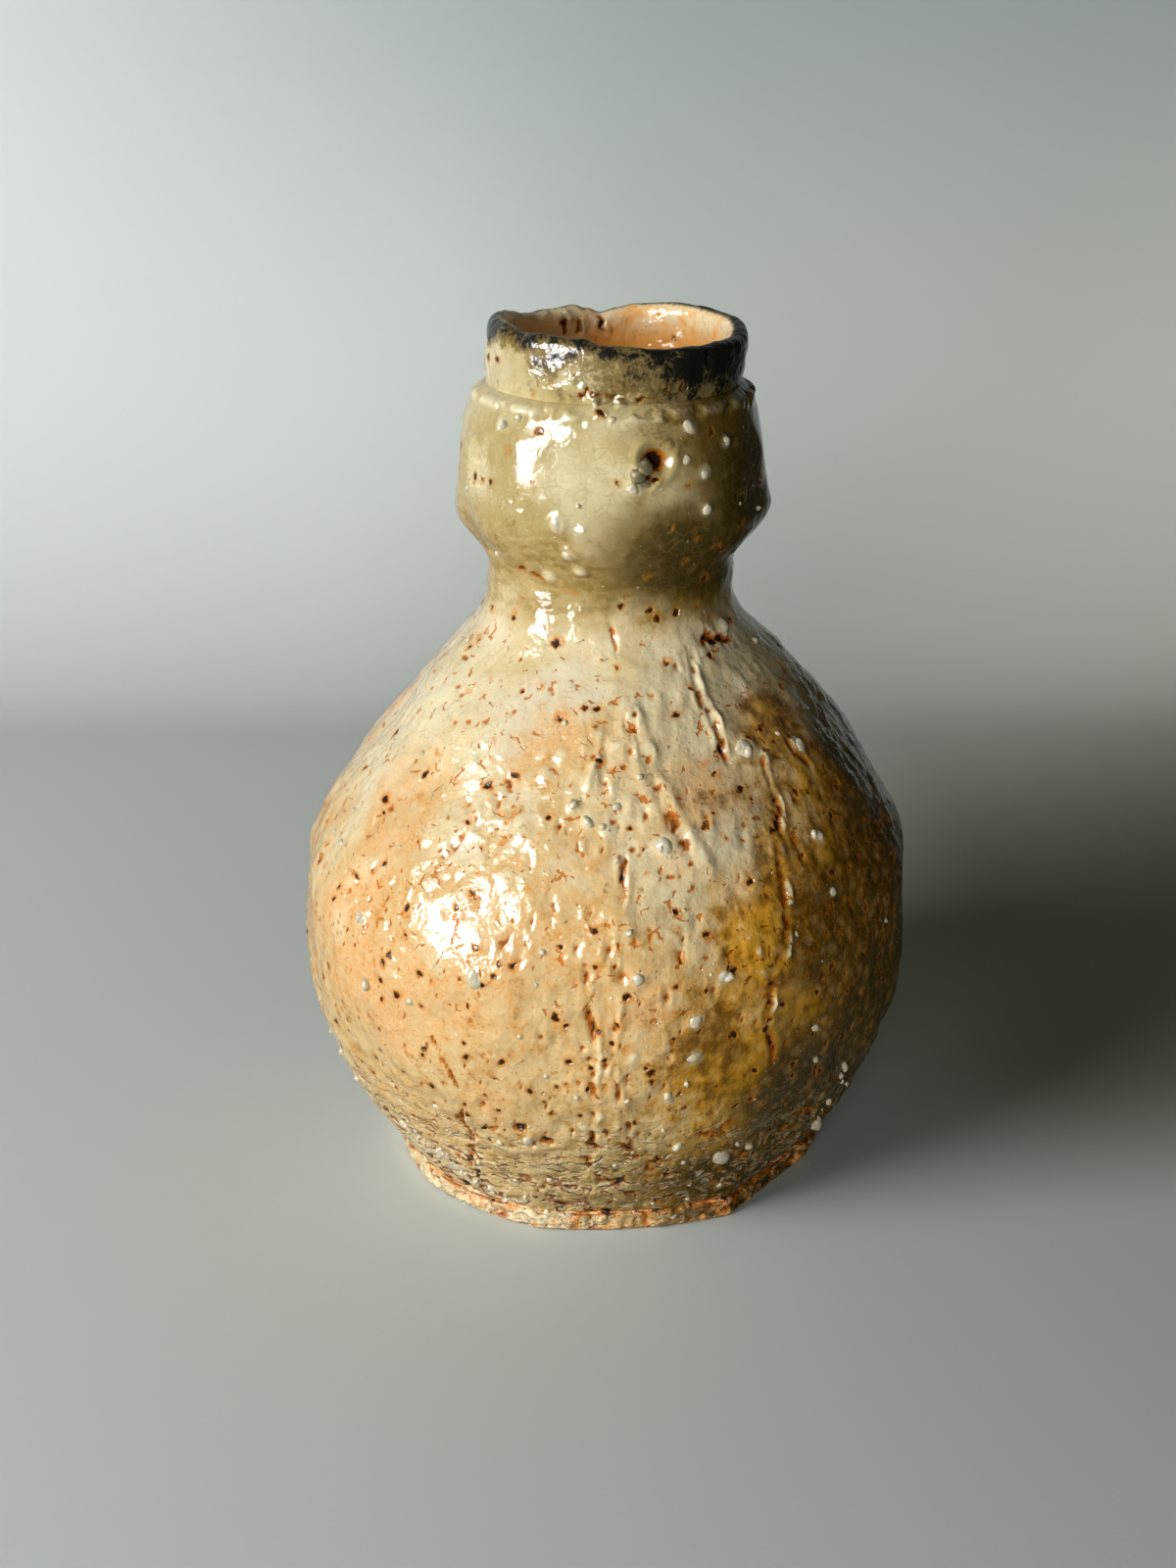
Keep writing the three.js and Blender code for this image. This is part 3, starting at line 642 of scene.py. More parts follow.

# %% [markdown]
# ## Where the fire and the ash went
# The colours come mostly from the fire's path, not from a brush. Ash fell on the top and turned
# into a cream glaze, flame licked the belly orange, the glaze ran thick and amber on the right,
# smoke caught the rim, and the foot stayed dry and khaki. The olive and the khaki also hold
# painted shade, on the right side away from the softbox and at the waist under the bulb. Each
# of these is a share from 0 to 1 for every point. In front it is built from soft patches at
# pixels of the photograph, and round the back, which no photograph shows, from noise of the
# same size.

# %% Paint the shares of fire and ash
FLASHED = [((566, 742), 11, 0.75), ((450, 785), 7, 0.6), ((400, 800), 11, 0.8), ((380, 890), 9, 0.85),
           ((430, 850), 8, 0.7), ((365, 975), 13, 0.8), ((470, 1000), 20, 0.5), ((400, 1040), 14, 0.7),
           ((555, 935), 13, 0.4), ((690, 878), 9, 0.7), ((722, 808), 10, 0.75), ((636, 695), 4, 0.6),
           ((659, 1026), 8, 0.9), ((495, 1126), 7, 0.6), ((600, 860), 8, 0.4), ((590, 1100), 8, 0.4),
           ((520, 780), 7, 0.5), ((350, 920), 9, 0.7), ((625, 640), 3.5, 0.8), ((470, 940), 12, 0.5)]
AMBER = [((775, 722), 10, 1), ((790, 745), 9, 0.9), ((797, 870), 7, 0.95), ((797, 930), 9, 1), ((780, 985), 9, 0.95),
         ((836, 795), 14, 0.7), ((868, 872), 15, 0.9), ((886, 945), 16, 0.95), ((914, 950), 10, 1), ((905, 1000), 12, 1),
         ((720, 1050), 12, 0.7), ((709, 1095), 8, 0.65), ((760, 1081), 9, 0.7), ((745, 1110), 9, 0.5),
         ((840, 1030), 14, 0.7), ((760, 960), 8, 0.7), ((850, 740), 10, 0.6), ((878, 1060), 12, 0.8),
         ((820, 960), 12, 0.6), ((760, 690), 8, 0.5), ((730, 820), 6, 0.5), ((670, 930), 6, 0.4)]
PALE = [((425, 1165), 9, 0.9), ((478, 1203), 8, 0.8), ((530, 1232), 6, 0.7), ((600, 650), 9, 0.3), ((490, 480), 10, 0.8), ((705, 655), 7, 0.8), ((430, 715), 20, 0.9), ((380, 775), 13, 0.7), ((510, 640), 13, 0.5), ((470, 760), 12, 0.5), ((655, 765), 12, 0.5), ((600, 810), 9, 0.5), ((500, 800), 8, 0.4), ((755, 905), 9, 0.4), ((695, 985), 9, 0.2),
        ((336, 885), 9, 0.5), ((560, 640), 18, 0.3), ((690, 690), 14, 0.6), ((640, 830), 8, 0.7), ((740, 860), 8, 0.6),
        ((710, 740), 9, 0.8), ((520, 880), 6, 0.3), ((480, 975), 5, 0.5), ((760, 850), 7, 0.5)]


def patches(clay, spots):
    """The union of soft patches with torn edges, each (pixel, reach in millimetres, strength)."""
    spared = np.ones(len(clay.place))
    for pixel, reach, strength in spots:
        away = np.linalg.norm(clay.place - on_the_pot(pixel), axis=1) / reach
        spared *= 1 - strength * np.exp(-np.maximum(0, away + 0.3 * clay.knobs) ** 2)
    return 1 - spared


for clay in clays:
    behind, far_side = smooth(-34, 8, clay.place[:, 1]), smooth(8, 44, clay.place[:, 1])
    fire_path, ash_path = lumps(clay.place, 46, 21, 3), lumps(clay.place, 30, 22, 3)
    on_belly = 1 - smooth(112, 134, clay.level + 10 * clay.dents)
    low_belly = 1 - smooth(14, 52, clay.level + 12 * clay.dents)
    # Painted shade under the bulb: at the waist and on the bulb's underside the glaze is darkened, with khaki through
    # this band and with olive through shaded_waist, which is strongest on the right.
    shade_under_bulb = 0.85 * smooth(129, 141, clay.level) * (1 - smooth(153, 170, clay.level))
    sunny = smooth(-60, 60, clay.place[:, 0])
    shaded_waist = ((0.2 + 0.7 * smooth(-20, 16, clay.place[:, 0])) * smooth(132, 146, clay.level + 4 * clay.dents)
                    * (1 - smooth(157, 175, clay.level + 4 * clay.dents)))
    amber_behind = smooth(0.0, 0.5, -fire_path) * (0.25 + 0.75 * sunny) * (1 - 0.5 * far_side)
    clay.tones = {
        "flash": np.maximum(patches(clay, FLASHED), behind * smooth(-0.05, 0.42, fire_path)) * on_belly,
        "amber": np.maximum(patches(clay, AMBER), behind * amber_behind) * on_belly,
        "pale": np.maximum(patches(clay, PALE), 0.6 * smooth(0.1, 0.5, ash_path)),
        "ochre": 1 - smooth(84, 126, clay.level + 22 * ash_path),
        # Khaki of the dry foot, and painted shade at the waist under the bulb.
        "khaki_and_painted_shade": np.maximum(low_belly * (0.2 + 0.8 * smooth(-40, 10, clay.place[:, 0])), shade_under_bulb),
        "gold": smooth(0, 24, clay.place[:, 0] + 8 * clay.dents) * (1 - smooth(58, 98, clay.level + 12 * clay.knobs)),
        # Olive glaze and painted shade: the right side, away from the softbox, and the waist under the bulb are
        # darkened; this shade is weaker at the back.
        "olive_and_painted_shade": (np.max([smooth(22, 60, clay.place[:, 0] + 12 * clay.dents), shaded_waist,
                          smooth(-8, 28, clay.place[:, 0] + 6 * clay.dents) * (1 - smooth(16, 40, clay.level)),
                          smooth(4, 42, clay.place[:, 0] + 6 * clay.dents) * (1 - smooth(36, 88, clay.level))], axis=0)
                  if clay is not bulb_clay
                  else np.maximum(smooth(0, 34, clay.place[:, 0] + 5 * clay.dents), shaded_waist)) * (1 - 0.6 * far_side),
        "torn": smooth(40, 66, clay.level) * (1 - smooth(134, 146, clay.level)),
        "dry": 1 - smooth(12, 40, clay.level + 6 * clay.dents),
        "smoke": np.zeros(len(clay.place)),
        "inside": 1 - clay.skin,
        "hollow": clay.hollow,
        "tear": clay.tear,
        "welt": clay.welt,
    }
# On the foot the khaki follows the olive, so the painted shade of the right side runs on down the foot.
foot_clay.tones["khaki_and_painted_shade"] = 0.25 + 0.5 * foot_clay.tones["olive_and_painted_shade"]
foot_clay.tones["pale"] = np.maximum(foot_clay.tones["pale"], 0.8 * smooth(20, -20, foot_clay.place[:, 0]))
print("belly flashed on", round(100 * belly_clay.tones["flash"].mean()), "% of its points")

# %% Smoke the collar
AROUND_CREST = [(-150, 0.9), (-128, 0.7), (-112, 0.75), (-95, 0.75), (-78, 0.62), (-62, 0.55), (-48, 0.8), (-30, 1), (35, 1),
                (60, 0.8), (85, 0.3), (100, 0.35), (125, 0.65), (160, 0.9)]
AROUND_FACE = [(-150, 0.1), (-128, 0.15), (-108, 0.36), (-85, 0.56), (-68, 0.86), (-52, 1), (-25, 1.1), (40, 0.9),
               (90, 0.6), (150, 0.3)]
SMOKED = [((515, 345), 3.5, 0.6), ((548, 362), 4, 0.6), ((566, 358), 4, 0.7), ((585, 356), 3, 0.6), ((560, 385), 3, 0.4),
          ((612, 378), 3, 0.35), ((700, 366), 5, 0.6), ((735, 362), 7, 0.8), ((755, 372), 7, 0.9), ((720, 395), 5, 0.6)]
collar_lumps = lumps(collar_clay.place, 8, 31, 2)
crest_share = smooth(194, 198.5, collar_clay.level + 1.5 * collar_lumps)
face_share = between(closed(AROUND_FACE), collar_clay.degrees) * (0.7 + 0.3 * smooth(187, 197, collar_clay.level))
smoked = np.maximum(patches(collar_clay, SMOKED), face_share)
smoked = np.maximum(smoked, crest_share * between(closed(AROUND_CREST), collar_clay.degrees))
across_axis = np.hypot(collar_clay.place[:, 0] - 2, collar_clay.place[:, 1])
collar_inside = 1 - smooth(MOUTH_RADIUS + 0.6, MOUTH_RADIUS + 2.6, across_axis)
collar_clay.tones["smoke"] = (smoked + 0.12 * collar_lumps) * (1 - collar_inside)
collar_clay.tones["inside"] = collar_inside
# The top of the bulb, just under the collar, is darkened towards the right side.
bulb_clay.tones["smoke"] = (0.62 * smooth(172, 187, bulb_clay.level) * smooth(0, 26, bulb_clay.place[:, 0])
                            * bulb_clay.skin)
print("collar smoked on", round(100 * (collar_clay.tones["smoke"] > 0.5).mean()), "% of its points")

# %% [markdown]
# ## From points to pieces
# The worked points are written back to their meshes, in metres, and every share becomes an
# attribute that the glaze can read. Each piece stands for its CAD node, so it stays in place
# and rides on the same body.

# %% Make the four clay pieces
def piece_from(shell, name, slot, *nodes):
    mesh = bpy.data.meshes.new(name)
    shell.to_mesh(mesh)
    mesh.polygons.foreach_set("use_smooth", np.full(len(mesh.polygons), name != "kiln_grit"))
    piece = bpy.data.objects.new(name, mesh)
    bpy.context.scene.collection.objects.link(piece)
    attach(piece, "root")
    if nodes:
        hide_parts(*nodes)
    return piece


def fired(clay, name, slot, node):
    clay.move_to((clay.place + clay.lift[:, None] * clay.out) * MM)
    for layer in ("outwards", "up", "outside"):
        clay.shell.verts.layers.float.remove(clay.shell.verts.layers.float[layer])
    piece = piece_from(clay.shell, name, slot, node)
    for tone, share in clay.tones.items():
        piece.data.attributes.new(tone, "FLOAT", "POINT").data.foreach_set("value", share.astype(np.float32))
    print(name, "has", sum(len(face.vertices) - 2 for face in piece.data.polygons), "triangles")
    return piece


belly_skin = fired(belly_clay, "belly_skin", "flashed_glaze", "belly_wall")
bulb_skin = fired(bulb_clay, "bulb_skin", "ash_glaze", "upper_bulb")
collar_skin = fired(collar_clay, "collar_skin", "smoked_glaze", "rim_collar")
foot_edge = fired(foot_clay, "foot_edge", "bare_clay", "foot_slab")

# %% [markdown]
# ## The feldspar grains
# A feldspar grain melts a little in the kiln: its corners round off, but it keeps an uneven
# shape. Each large grain is a merged copy of its CAD node, a little swollen and knocked out of
# round, and a Subdivision Surface makes it smooth. A CAD mesh is loose triangles, so the copy is
# merged first.

# %% Seat the large grains
def bumped(shell, amount, size, seed):
    """Push the points of a closed shell about, each along its own noise."""
    for vertex in shell.verts:
        vertex.co += amount * noise.noise_vector(vertex.co / size + Vector((seed, -seed, 0.5 * seed)))


large_grains = []
for number, node in enumerate(grain_nodes):
    shell = bmesh.new()
    shell.from_mesh(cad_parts[node].data)
    bmesh.ops.remove_doubles(shell, verts=shell.verts, dist=1e-6)
    middle, reach = middle_and_reach(node)
    here = Matrix.Translation(-Vector(middle) * MM)
    bmesh.ops.scale(shell, vec=(1.1, 1.1, 1.1), space=here, verts=shell.verts)
    bumped(shell, 0.55 * MM, 2.4 * MM, 3.7 * number)
    grain = piece_from(shell, node.replace("feldspar", "grain"), "feldspar", node)
    rounding = grain.modifiers.new("rounding", "SUBSURF")
    rounding.levels = rounding.render_levels = 2
    large_grains.append(grain)
print("large grains:", len(large_grains), "with", len(large_grains[0].data.polygons), "faces each before rounding")

# %% [markdown]
# ## Fine grains and kiln grit
# Many smaller grains stand out of the glaze, and white kiln grit clings to the left edge of the
# foot, where the pot stood in crushed shells. Each is a small eight-sided sphere, pushed out of
# round and half sunk in the finished wall. All the grains of one kind are one piece. A sphere is
# made in a shell of its own and then added to the rest, which stays quick when there are many.

# %% Sprinkle the fine grains
def sprinkle(shell, place, radius, sunk, luck, uneven=0.3):
    """One small grain on the finished wall next to a place; sunk is the share of it in the wall."""
    clay, row = min(((clay, clay.points.find(place)[1]) for clay in clays),
                    key=lambda found: np.linalg.norm(found[0].place[found[1]] - place))
    middle = Vector(clay.place[row] + (clay.lift[row] + radius * (1 - 2 * sunk)) * clay.out[row]) * MM
    stretch = Matrix.Diagonal((*(1 + uneven * luck.standard_normal(3)).clip(0.6, 1.5), 1))
    turned = Euler(luck.random(3) * 6).to_matrix().to_4x4()
    ball, mesh = bmesh.new(), bpy.data.meshes.new("ball")
    bmesh.ops.create_uvsphere(ball, u_segments=8, v_segments=5, radius=radius * MM,
                              matrix=Matrix.Translation(middle) @ turned @ stretch)
    bumped(ball, uneven * radius * MM, 1.2 * radius * MM, luck.random() * 50)
    ball.to_mesh(mesh)
    shell.from_mesh(mesh)
    bpy.data.meshes.remove(mesh)


SEEN_GRAINS = [(529, 425, 1.0), (646, 499, 0.9), (740, 450, 1.1), (720, 519, 1.3),
               (590, 515, 0.7), (700, 470, 0.8), (476, 500, 0.8), (515, 434, 1.1), (634, 405, 1.0), (607, 414, 0.9),
               (548, 1003, 0.8), (432, 768, 0.8), (350, 858, 1.0), (374, 1003, 1.4), (418, 1024, 1.3), (369, 937, 1.2),
               (511, 1165, 1.0), (540, 1163, 0.9), (691, 1170, 1.2), (735, 1178, 1.9), (832, 1149, 1.5), (698, 1186, 0.7),
               (676, 1151, 0.7), (640, 950, 1.2), (700, 1106, 0.8), (660, 1160, 0.8), (765, 1170, 0.8), (590, 1120, 0.8),
               (640, 1120, 0.8), (630, 880, 0.8), (612, 770, 0.8), (488, 1185, 1.0), (560, 1205, 0.9), (834, 1080, 0.8),
               (863, 1086, 1.2), (858, 1099, 1.1), (902, 940, 0.8), (833, 1046, 0.8), (768, 652, 1.0), (832, 853, 1.2),
               (575, 740, 0.7), (600, 838, 1.3), (616, 846, 1.0), (630, 824, 0.9), (586, 822, 1.1), (762, 770, 1.3),
               (530, 1060, 0.9), (553, 968, 0.9), (652, 998, 1.2), (741, 999, 1.2), (682, 1120, 1.1), (676, 866, 1.3)]
grain_luck = np.random.default_rng(23)
fine = bmesh.new()
for x, y, radius in SEEN_GRAINS:
    sprinkle(fine, on_the_pot((x, y)), radius, 0.58, grain_luck)
for clay, count, lowest, highest in [(belly_clay, 90, 6, 140), (bulb_clay, 5, 148, 184), (belly_clay, 40, 6, 34)]:
    for place in scatter(clay, count, lowest, highest, grain_luck):
        sprinkle(fine, place, 0.35 + 0.75 * grain_luck.random() ** 2.5, 0.6, grain_luck)
fine_grains = piece_from(fine, "fine_grains", "feldspar")
beside_hole = bmesh.new()
for x, y, radius in [(655, 477, 1.9), (650, 487, 1.4), (661, 493, 1.2)]:
    sprinkle(beside_hole, on_the_pot((x, y)), radius, 0.5, grain_luck, 0.5)
hole_grains = piece_from(beside_hole, "hole_grains", "feldspar")

GRIT_EDGE = [(408, 1150), (415, 1158), (424, 1166), (435, 1176), (446, 1184), (458, 1192), (470, 1200), (484, 1208),
             (500, 1218), (516, 1227)]
GRIT_ALONE = [(842, 1133), (848, 1125), (862, 1104), (866, 1092), (838, 1140), (561, 1236), (584, 1240), (612, 1242),
              (650, 1238), (690, 1240), (540, 1222), (600, 1228), (632, 1222)]
grit = bmesh.new()
for x, y in GRIT_EDGE:
    for _ in range(11):
        reach = abs(grain_luck.normal(0, (5, 3)))
        place = on_the_pot((x + reach[0], y - 2 - reach[1]))
        sprinkle(grit, place, 0.2 + 0.5 * grain_luck.random() ** 2, 0.45, grain_luck, 0.6)
for x, y in GRIT_ALONE:
    sprinkle(grit, on_the_pot((x - 4, y)), 0.3 + 0.4 * grain_luck.random(), 0.45, grain_luck, 0.6)
kiln_grit = piece_from(grit, "kiln_grit", "feldspar")
print("fine grains:", len(fine.faces) // 40, "and kiln grit:", len(grit.faces) // 40)

# %% [markdown]
# ## Writing shader sums
# A glaze is many layers: each adds a little colour and a little relief. Written node by node it
# would be long, so a small class wraps a node's output. A sum of such wires adds its Math nodes
# by itself, and one method makes every other kind of node.

# %% A wire that can be added and multiplied
class Wire:
    """The output of a node in a material."""

    def __init__(self, tree, socket=None):
        self.tree, self.socket = tree, socket

    def node(self, kind, settings=None, inputs=None, output=0):
        """A new node: its settings first, because they decide its sockets, then values and wires."""
        made = self.tree.nodes.new(kind)
        for name, value in (settings or {}).items():
            setattr(made, name, value)
        for name, value in (inputs or {}).items():
            if isinstance(value, Wire):
                self.tree.links.new(value.socket, made.inputs[name])
            else:
                made.inputs[name].default_value = value
        return Wire(self.tree, made.outputs[output] if made.outputs else None)

    def sum(self, operation, first, second):
        return self.node("ShaderNodeMath", {"operation": operation}, {0: first, 1: second})

    def __add__(self, other):
        return self.sum("ADD", self, other)

    def __sub__(self, other):
        return self.sum("SUBTRACT", self, other)

    def __rsub__(self, other):
        return self.sum("SUBTRACT", other, self)

    def __mul__(self, other):
        return self.sum("MULTIPLY", self, other)

    def __truediv__(self, other):
        return self.sum("DIVIDE", self, other)

    __radd__ = __add__
    __rmul__ = __mul__

    def step(self, low, high):
        """0 below low, 1 above high, soft between."""
        limits = {"Value": self, "From Min": low, "From Max": high}
        return self.node("ShaderNodeMapRange", {"interpolation_type": "SMOOTHSTEP"}, limits)

    def over(self, under, colour):
        """The colour laid over another, as thick as this share."""
        return self.node("ShaderNodeMix", {"data_type": "RGBA"}, {0: self, 6: under, 7: colour}, 2)

    def share(self, name):
        return self.node("ShaderNodeAttribute", {"attribute_name": name}, output="Fac")

    def cloud(self, scale, detail=2, output="Fac"):
        """Noise on these coordinates; the scale is in lumps per millimetre."""
        settings = {"Vector": self, "Scale": scale, "Detail": detail, "Roughness": 0.55}
        return self.node("ShaderNodeTexNoise", inputs=settings, output=output)

    def cells(self, scale, feature="F1", output="Distance"):
        return self.node("ShaderNodeTexVoronoi", {"feature": feature}, {"Vector": self, "Scale": scale}, output)

    def vectors(self, operation, first, second, third=(0, 0, 0)):
        return self.node("ShaderNodeVectorMath", {"operation": operation}, {0: first, 1: second, 2: third})


def new_material(name):
    material = bpy.data.materials.new(name)
    material.use_nodes = True
    material.node_tree.nodes.clear()
    return material, Wire(material.node_tree)


def finish_material(start, roughness, colour, relief_mm, ior=1.18):
    """Principled shader with its colour, roughness and a relief in millimetres."""
    normal = start.node("ShaderNodeBump", inputs={"Strength": 1.0, "Distance": MM, "Height": relief_mm})
    sockets = {"Base Color": colour, "Roughness": roughness, "IOR": ior, "Normal": normal}
    shader = start.node("ShaderNodeBsdfPrincipled", inputs=sockets)
    start.node("ShaderNodeOutputMaterial", inputs={"Surface": shader})


def millimetres(start):
    """Object coordinates in millimetres, so that every pattern's scale is per millimetre."""
    place = start.node("ShaderNodeTexCoord", output="Object")
    return start.vectors("MULTIPLY", place, (1 / MM, 1 / MM, 1 / MM))


print("shader helpers are ready")

# %% [markdown]
# ## The fired skin
# One recipe glazes all four clay pieces, so the colours run across the joints. It starts from
# cream ash and lays ochre, khaki, flash, amber, olive and smoke over it by the painted shares,
# each broken up by noise at its edge. The olive, and the khaki at the waist, are also painted
# shade, and the hollows of the bowls and the tops of the leather relief carry a little painted
# shade and light. Then come the marks of the glaze: hair-thin crazing, forked tears at the
# bottom of the dimples, small pits with rust in them, level cracks in the dry foot, and pale
# specks. The same marks also make the relief, so that a pit is both dark and deep. The glaze
# between them stays smooth, because the real one mirrors the lamp sharply.

# %% Colours of the glaze
CREAM, CREAM_DEEP = (0.73, 0.64, 0.44, 1), (0.62, 0.51, 0.27, 1)
BULB_CREAM, BULB_DEEP = (0.56, 0.48, 0.27, 1), (0.44, 0.35, 0.15, 1)
ASH_PALE, OCHRE, OCHRE_DEEP = (0.82, 0.74, 0.47, 1), (0.68, 0.485, 0.235, 1), (0.62, 0.385, 0.14, 1)
# Khaki is the dry foot's glaze, and is also laid on the waist as painted shade.
KHAKI, KHAKI_DEEP = (0.50, 0.36, 0.145, 1), (0.34, 0.225, 0.065, 1)
FLASH, FLASH_DEEP = (0.75, 0.46, 0.21, 1), (0.70, 0.34, 0.11, 1)
AMBER_GLASS, AMBER_DEEP = (0.54, 0.26, 0.008, 1), (0.17, 0.07, 0.003, 1)
GOLD, GOLD_DEEP = (0.84, 0.48, 0.10, 1), (0.80, 0.40, 0.04, 1)
# The olive and the deeper olive are painted shade on the right side, over some olive glaze.
OLIVE, PAINTED_SHADE_OLIVE, BURNT_CLAY = (0.15, 0.09, 0.006, 1), (0.05, 0.033, 0.003, 1), (0.70, 0.31, 0.08, 1)
TEAR_RED = (0.54, 0.14, 0.008, 1)
RUST, RUST_DARK, PIT_BLACK = (0.48, 0.13, 0.008, 1), (0.17, 0.04, 0.003, 1), (0.03, 0.012, 0.004, 1)
TEAR_ORANGE, HALO_BROWN, CRAZE_BROWN = (0.70, 0.25, 0.02, 1), (0.46, 0.18, 0.01, 1), (0.30, 0.20, 0.07, 1)
SMOKE, SMOKE_BROWN, SPECK = (0.012, 0.011, 0.008, 1), (0.14, 0.085, 0.012, 1), (0.70, 0.66, 0.52, 1)
# The mouth's orange and ash are lightened past the glaze's own colour: painted light inside the mouth.
LIT_MOUTH_FIRE, MOUTH_PEACH, LIT_MOUTH_ASH = (1.0, 0.46, 0.10, 1), (0.95, 0.78, 0.48, 1), (0.95, 0.82, 0.50, 1)
print("the palest glaze reflects", max(ASH_PALE[:3]), "of red light")


# %% Tears, pits and rust dots
def marks(start, bent, tears, height):
    """Shares of the marks: the open tears, the orange round them, pits, their halos, rust dots."""
    low = 1 - height.step(42, 104)
    seam = bent.cells(0.27, "DISTANCE_TO_EDGE")
    opened = bent.cloud(0.3, 2) + start.share("tear") * 0.12 - (1 - start.share("torn") * tears)
    wide, there = opened.step(0.60, 0.72), opened.step(0.585, 0.62)
    torn = (1 - (seam / (0.012 + wide * 0.1)).step(0.4, 1.0)) * there
    torn_halo = (1 - (seam / (0.03 + wide * 0.24)).step(0.3, 1.0)) * there

    luck = bent.cells(0.34, output="Color")
    chosen = start.node("ShaderNodeSeparateColor", inputs={0: luck}, output=1)
    chosen = (chosen + low * 0.28 - 0.12).step(0.76, 0.80) * (1 - start.share("inside"))
    chosen = chosen * (1 - start.share("dry") * 0.85)
    pit_gap = bent.cells(0.34) / (0.07 + luck * luck * 0.42)
    pit = (1 - pit_gap.step(0.5, 1.0)) * chosen
    pit_halo = (1 - pit_gap.step(0.8, 2.2)) * chosen

    dot_luck = bent.cells(0.85, output="Color")
    dot_chosen = start.node("ShaderNodeSeparateColor", inputs={0: dot_luck}, output=2).step(0.5, 0.6)
    dots = (1 - (bent.cells(0.85) / (0.15 + dot_luck * 0.25)).step(0.5, 1.0)) * dot_chosen * start.share("ochre")
    return torn, torn_halo, pit, pit_halo, dots


# %% Mix the glaze
def fired_skin(name, cream=CREAM, cream_deep=CREAM_DEEP, roughness=0.07, craze=0.5, tears=1.0, wave=1.0, ground=0.0):
    """The glaze of one clay piece; ground is how much bare, burnt clay shows."""
    material, start = new_material(name)
    mm = millimetres(start)
    bend = mm.cloud(0.35, 2, "Color")
    bent = mm.vectors("MULTIPLY_ADD", bend, (2.8, 2.8, 2.8), mm)
    drag = bent.vectors("MULTIPLY", bent, (0.4, 0.4, 1.25))
    broad, middling, fine_grain = mm.cloud(0.055, 3), mm.cloud(0.26, 3), mm.cloud(1.3, 3)
    folds, leather = drag.cloud(0.45, 3), mm.cloud(0.6, 2)
    worn = (middling - 0.5) * 0.9 + (fine_grain - 0.5) * 0.4
    height = start.node("ShaderNodeSeparateXYZ", inputs={0: mm}, output=2)
    torn, torn_halo, pit, pit_halo, dots = marks(start, bent, tears, height)
    level_gap, split = drag.cells(0.36, "DISTANCE_TO_EDGE"), mm.cloud(0.3, 1).step(0.46, 0.56)
    split = split * start.share("dry") * (1 - ground)
    level_cracks = (1 - level_gap.step(0.02, 0.11)) * split
    level_rims = (1 - level_gap.step(0.12, 0.28)) * split

    colour = broad.step(0.38, 0.66).over(cream, cream_deep)
    ochres = middling.step(0.4, 0.66).over(OCHRE, OCHRE_DEEP)
    colour = (start.share("ochre") + worn).step(0.15, 0.85).over(colour, ochres)
    # Khaki: the dry foot, and painted shade at the waist under the bulb.
    khakis = folds.step(0.4, 0.62).over(KHAKI, KHAKI_DEEP)
    colour = (start.share("khaki_and_painted_shade") + worn).step(0.2, 0.95).over(colour, khakis)
    flashes = fine_grain.step(0.4, 0.72).over(FLASH, FLASH_DEEP)
    colour = ((start.share("flash") + worn).step(0.2, 0.9) * 0.75).over(colour, flashes)
    colour = ((start.share("pale") + worn).step(0.25, 1.0) * 0.85).over(colour, ASH_PALE)
    golds = middling.step(0.38, 0.6).over(GOLD, GOLD_DEEP)
    colour = ((start.share("gold") + worn).step(0.2, 0.9) * 0.7).over(colour, golds)
    # Paler on the tops of the leather relief: thinner glaze on the rises, and painted light as well.
    colour = ((leather - 0.5).step(0.08, 0.2) * 0.2).over(colour, ASH_PALE)
    # Painted shade: olive glaze, deepest where the shade share is highest, on the right side and at the waist.
    shade_olives = start.share("olive_and_painted_shade").step(0.7, 1.0).over(OLIVE, PAINTED_SHADE_OLIVE)
    colour = ((start.share("olive_and_painted_shade") + worn * 0.6).step(0.05, 0.95) * 0.93).over(colour, shade_olives)
    ambers = (broad * 0.5 + middling * 0.5).step(0.42, 0.56).over(AMBER_GLASS, AMBER_DEEP)
    colour = ((start.share("amber") + worn).step(0.2, 0.85) * 0.9).over(colour, ambers)
    # Painted shade: a last layer of deep olive darkens the right side away from the softbox.
    colour = (start.share("olive_and_painted_shade").step(0.5, 1.0) * 0.75).over(colour, PAINTED_SHADE_OLIVE)

    # Painted light inside the mouth: the fire orange deep down, and the ash on the shaded left inner wall, are
    # lightened.
    mouth = (height.step(191, 198) * middling.step(0.25, 0.6)).over(LIT_MOUTH_FIRE, MOUTH_PEACH)
    leftward = 1 - start.node("ShaderNodeSeparateXYZ", inputs={0: mm}).step(-14, 0)
    mouth = (leftward * 0.85).over(mouth, LIT_MOUTH_ASH)
    colour = start.share("inside").step(0.3, 0.8).over(colour, mouth)
    crust_seams = 1 - drag.cells(0.5, "DISTANCE_TO_EDGE").step(0.03, 0.22)
    bare = (crust_seams * 0.6 + (1 - middling.step(0.40, 0.52))) * ground
    colour = bare.step(0.1, 0.8).over(colour, BURNT_CLAY)
    bowls = bent.cells(0.25)
    # Darker in the hollow centres of the bowls: glaze pooled there, and painted shade as well.
    colour = ((1 - bowls).step(0.5, 0.9) * (0.1 + start.share("ochre") * 0.2)).over(colour, OCHRE_DEEP)
    colour = (level_rims * 0.4).over(colour, ASH_PALE)

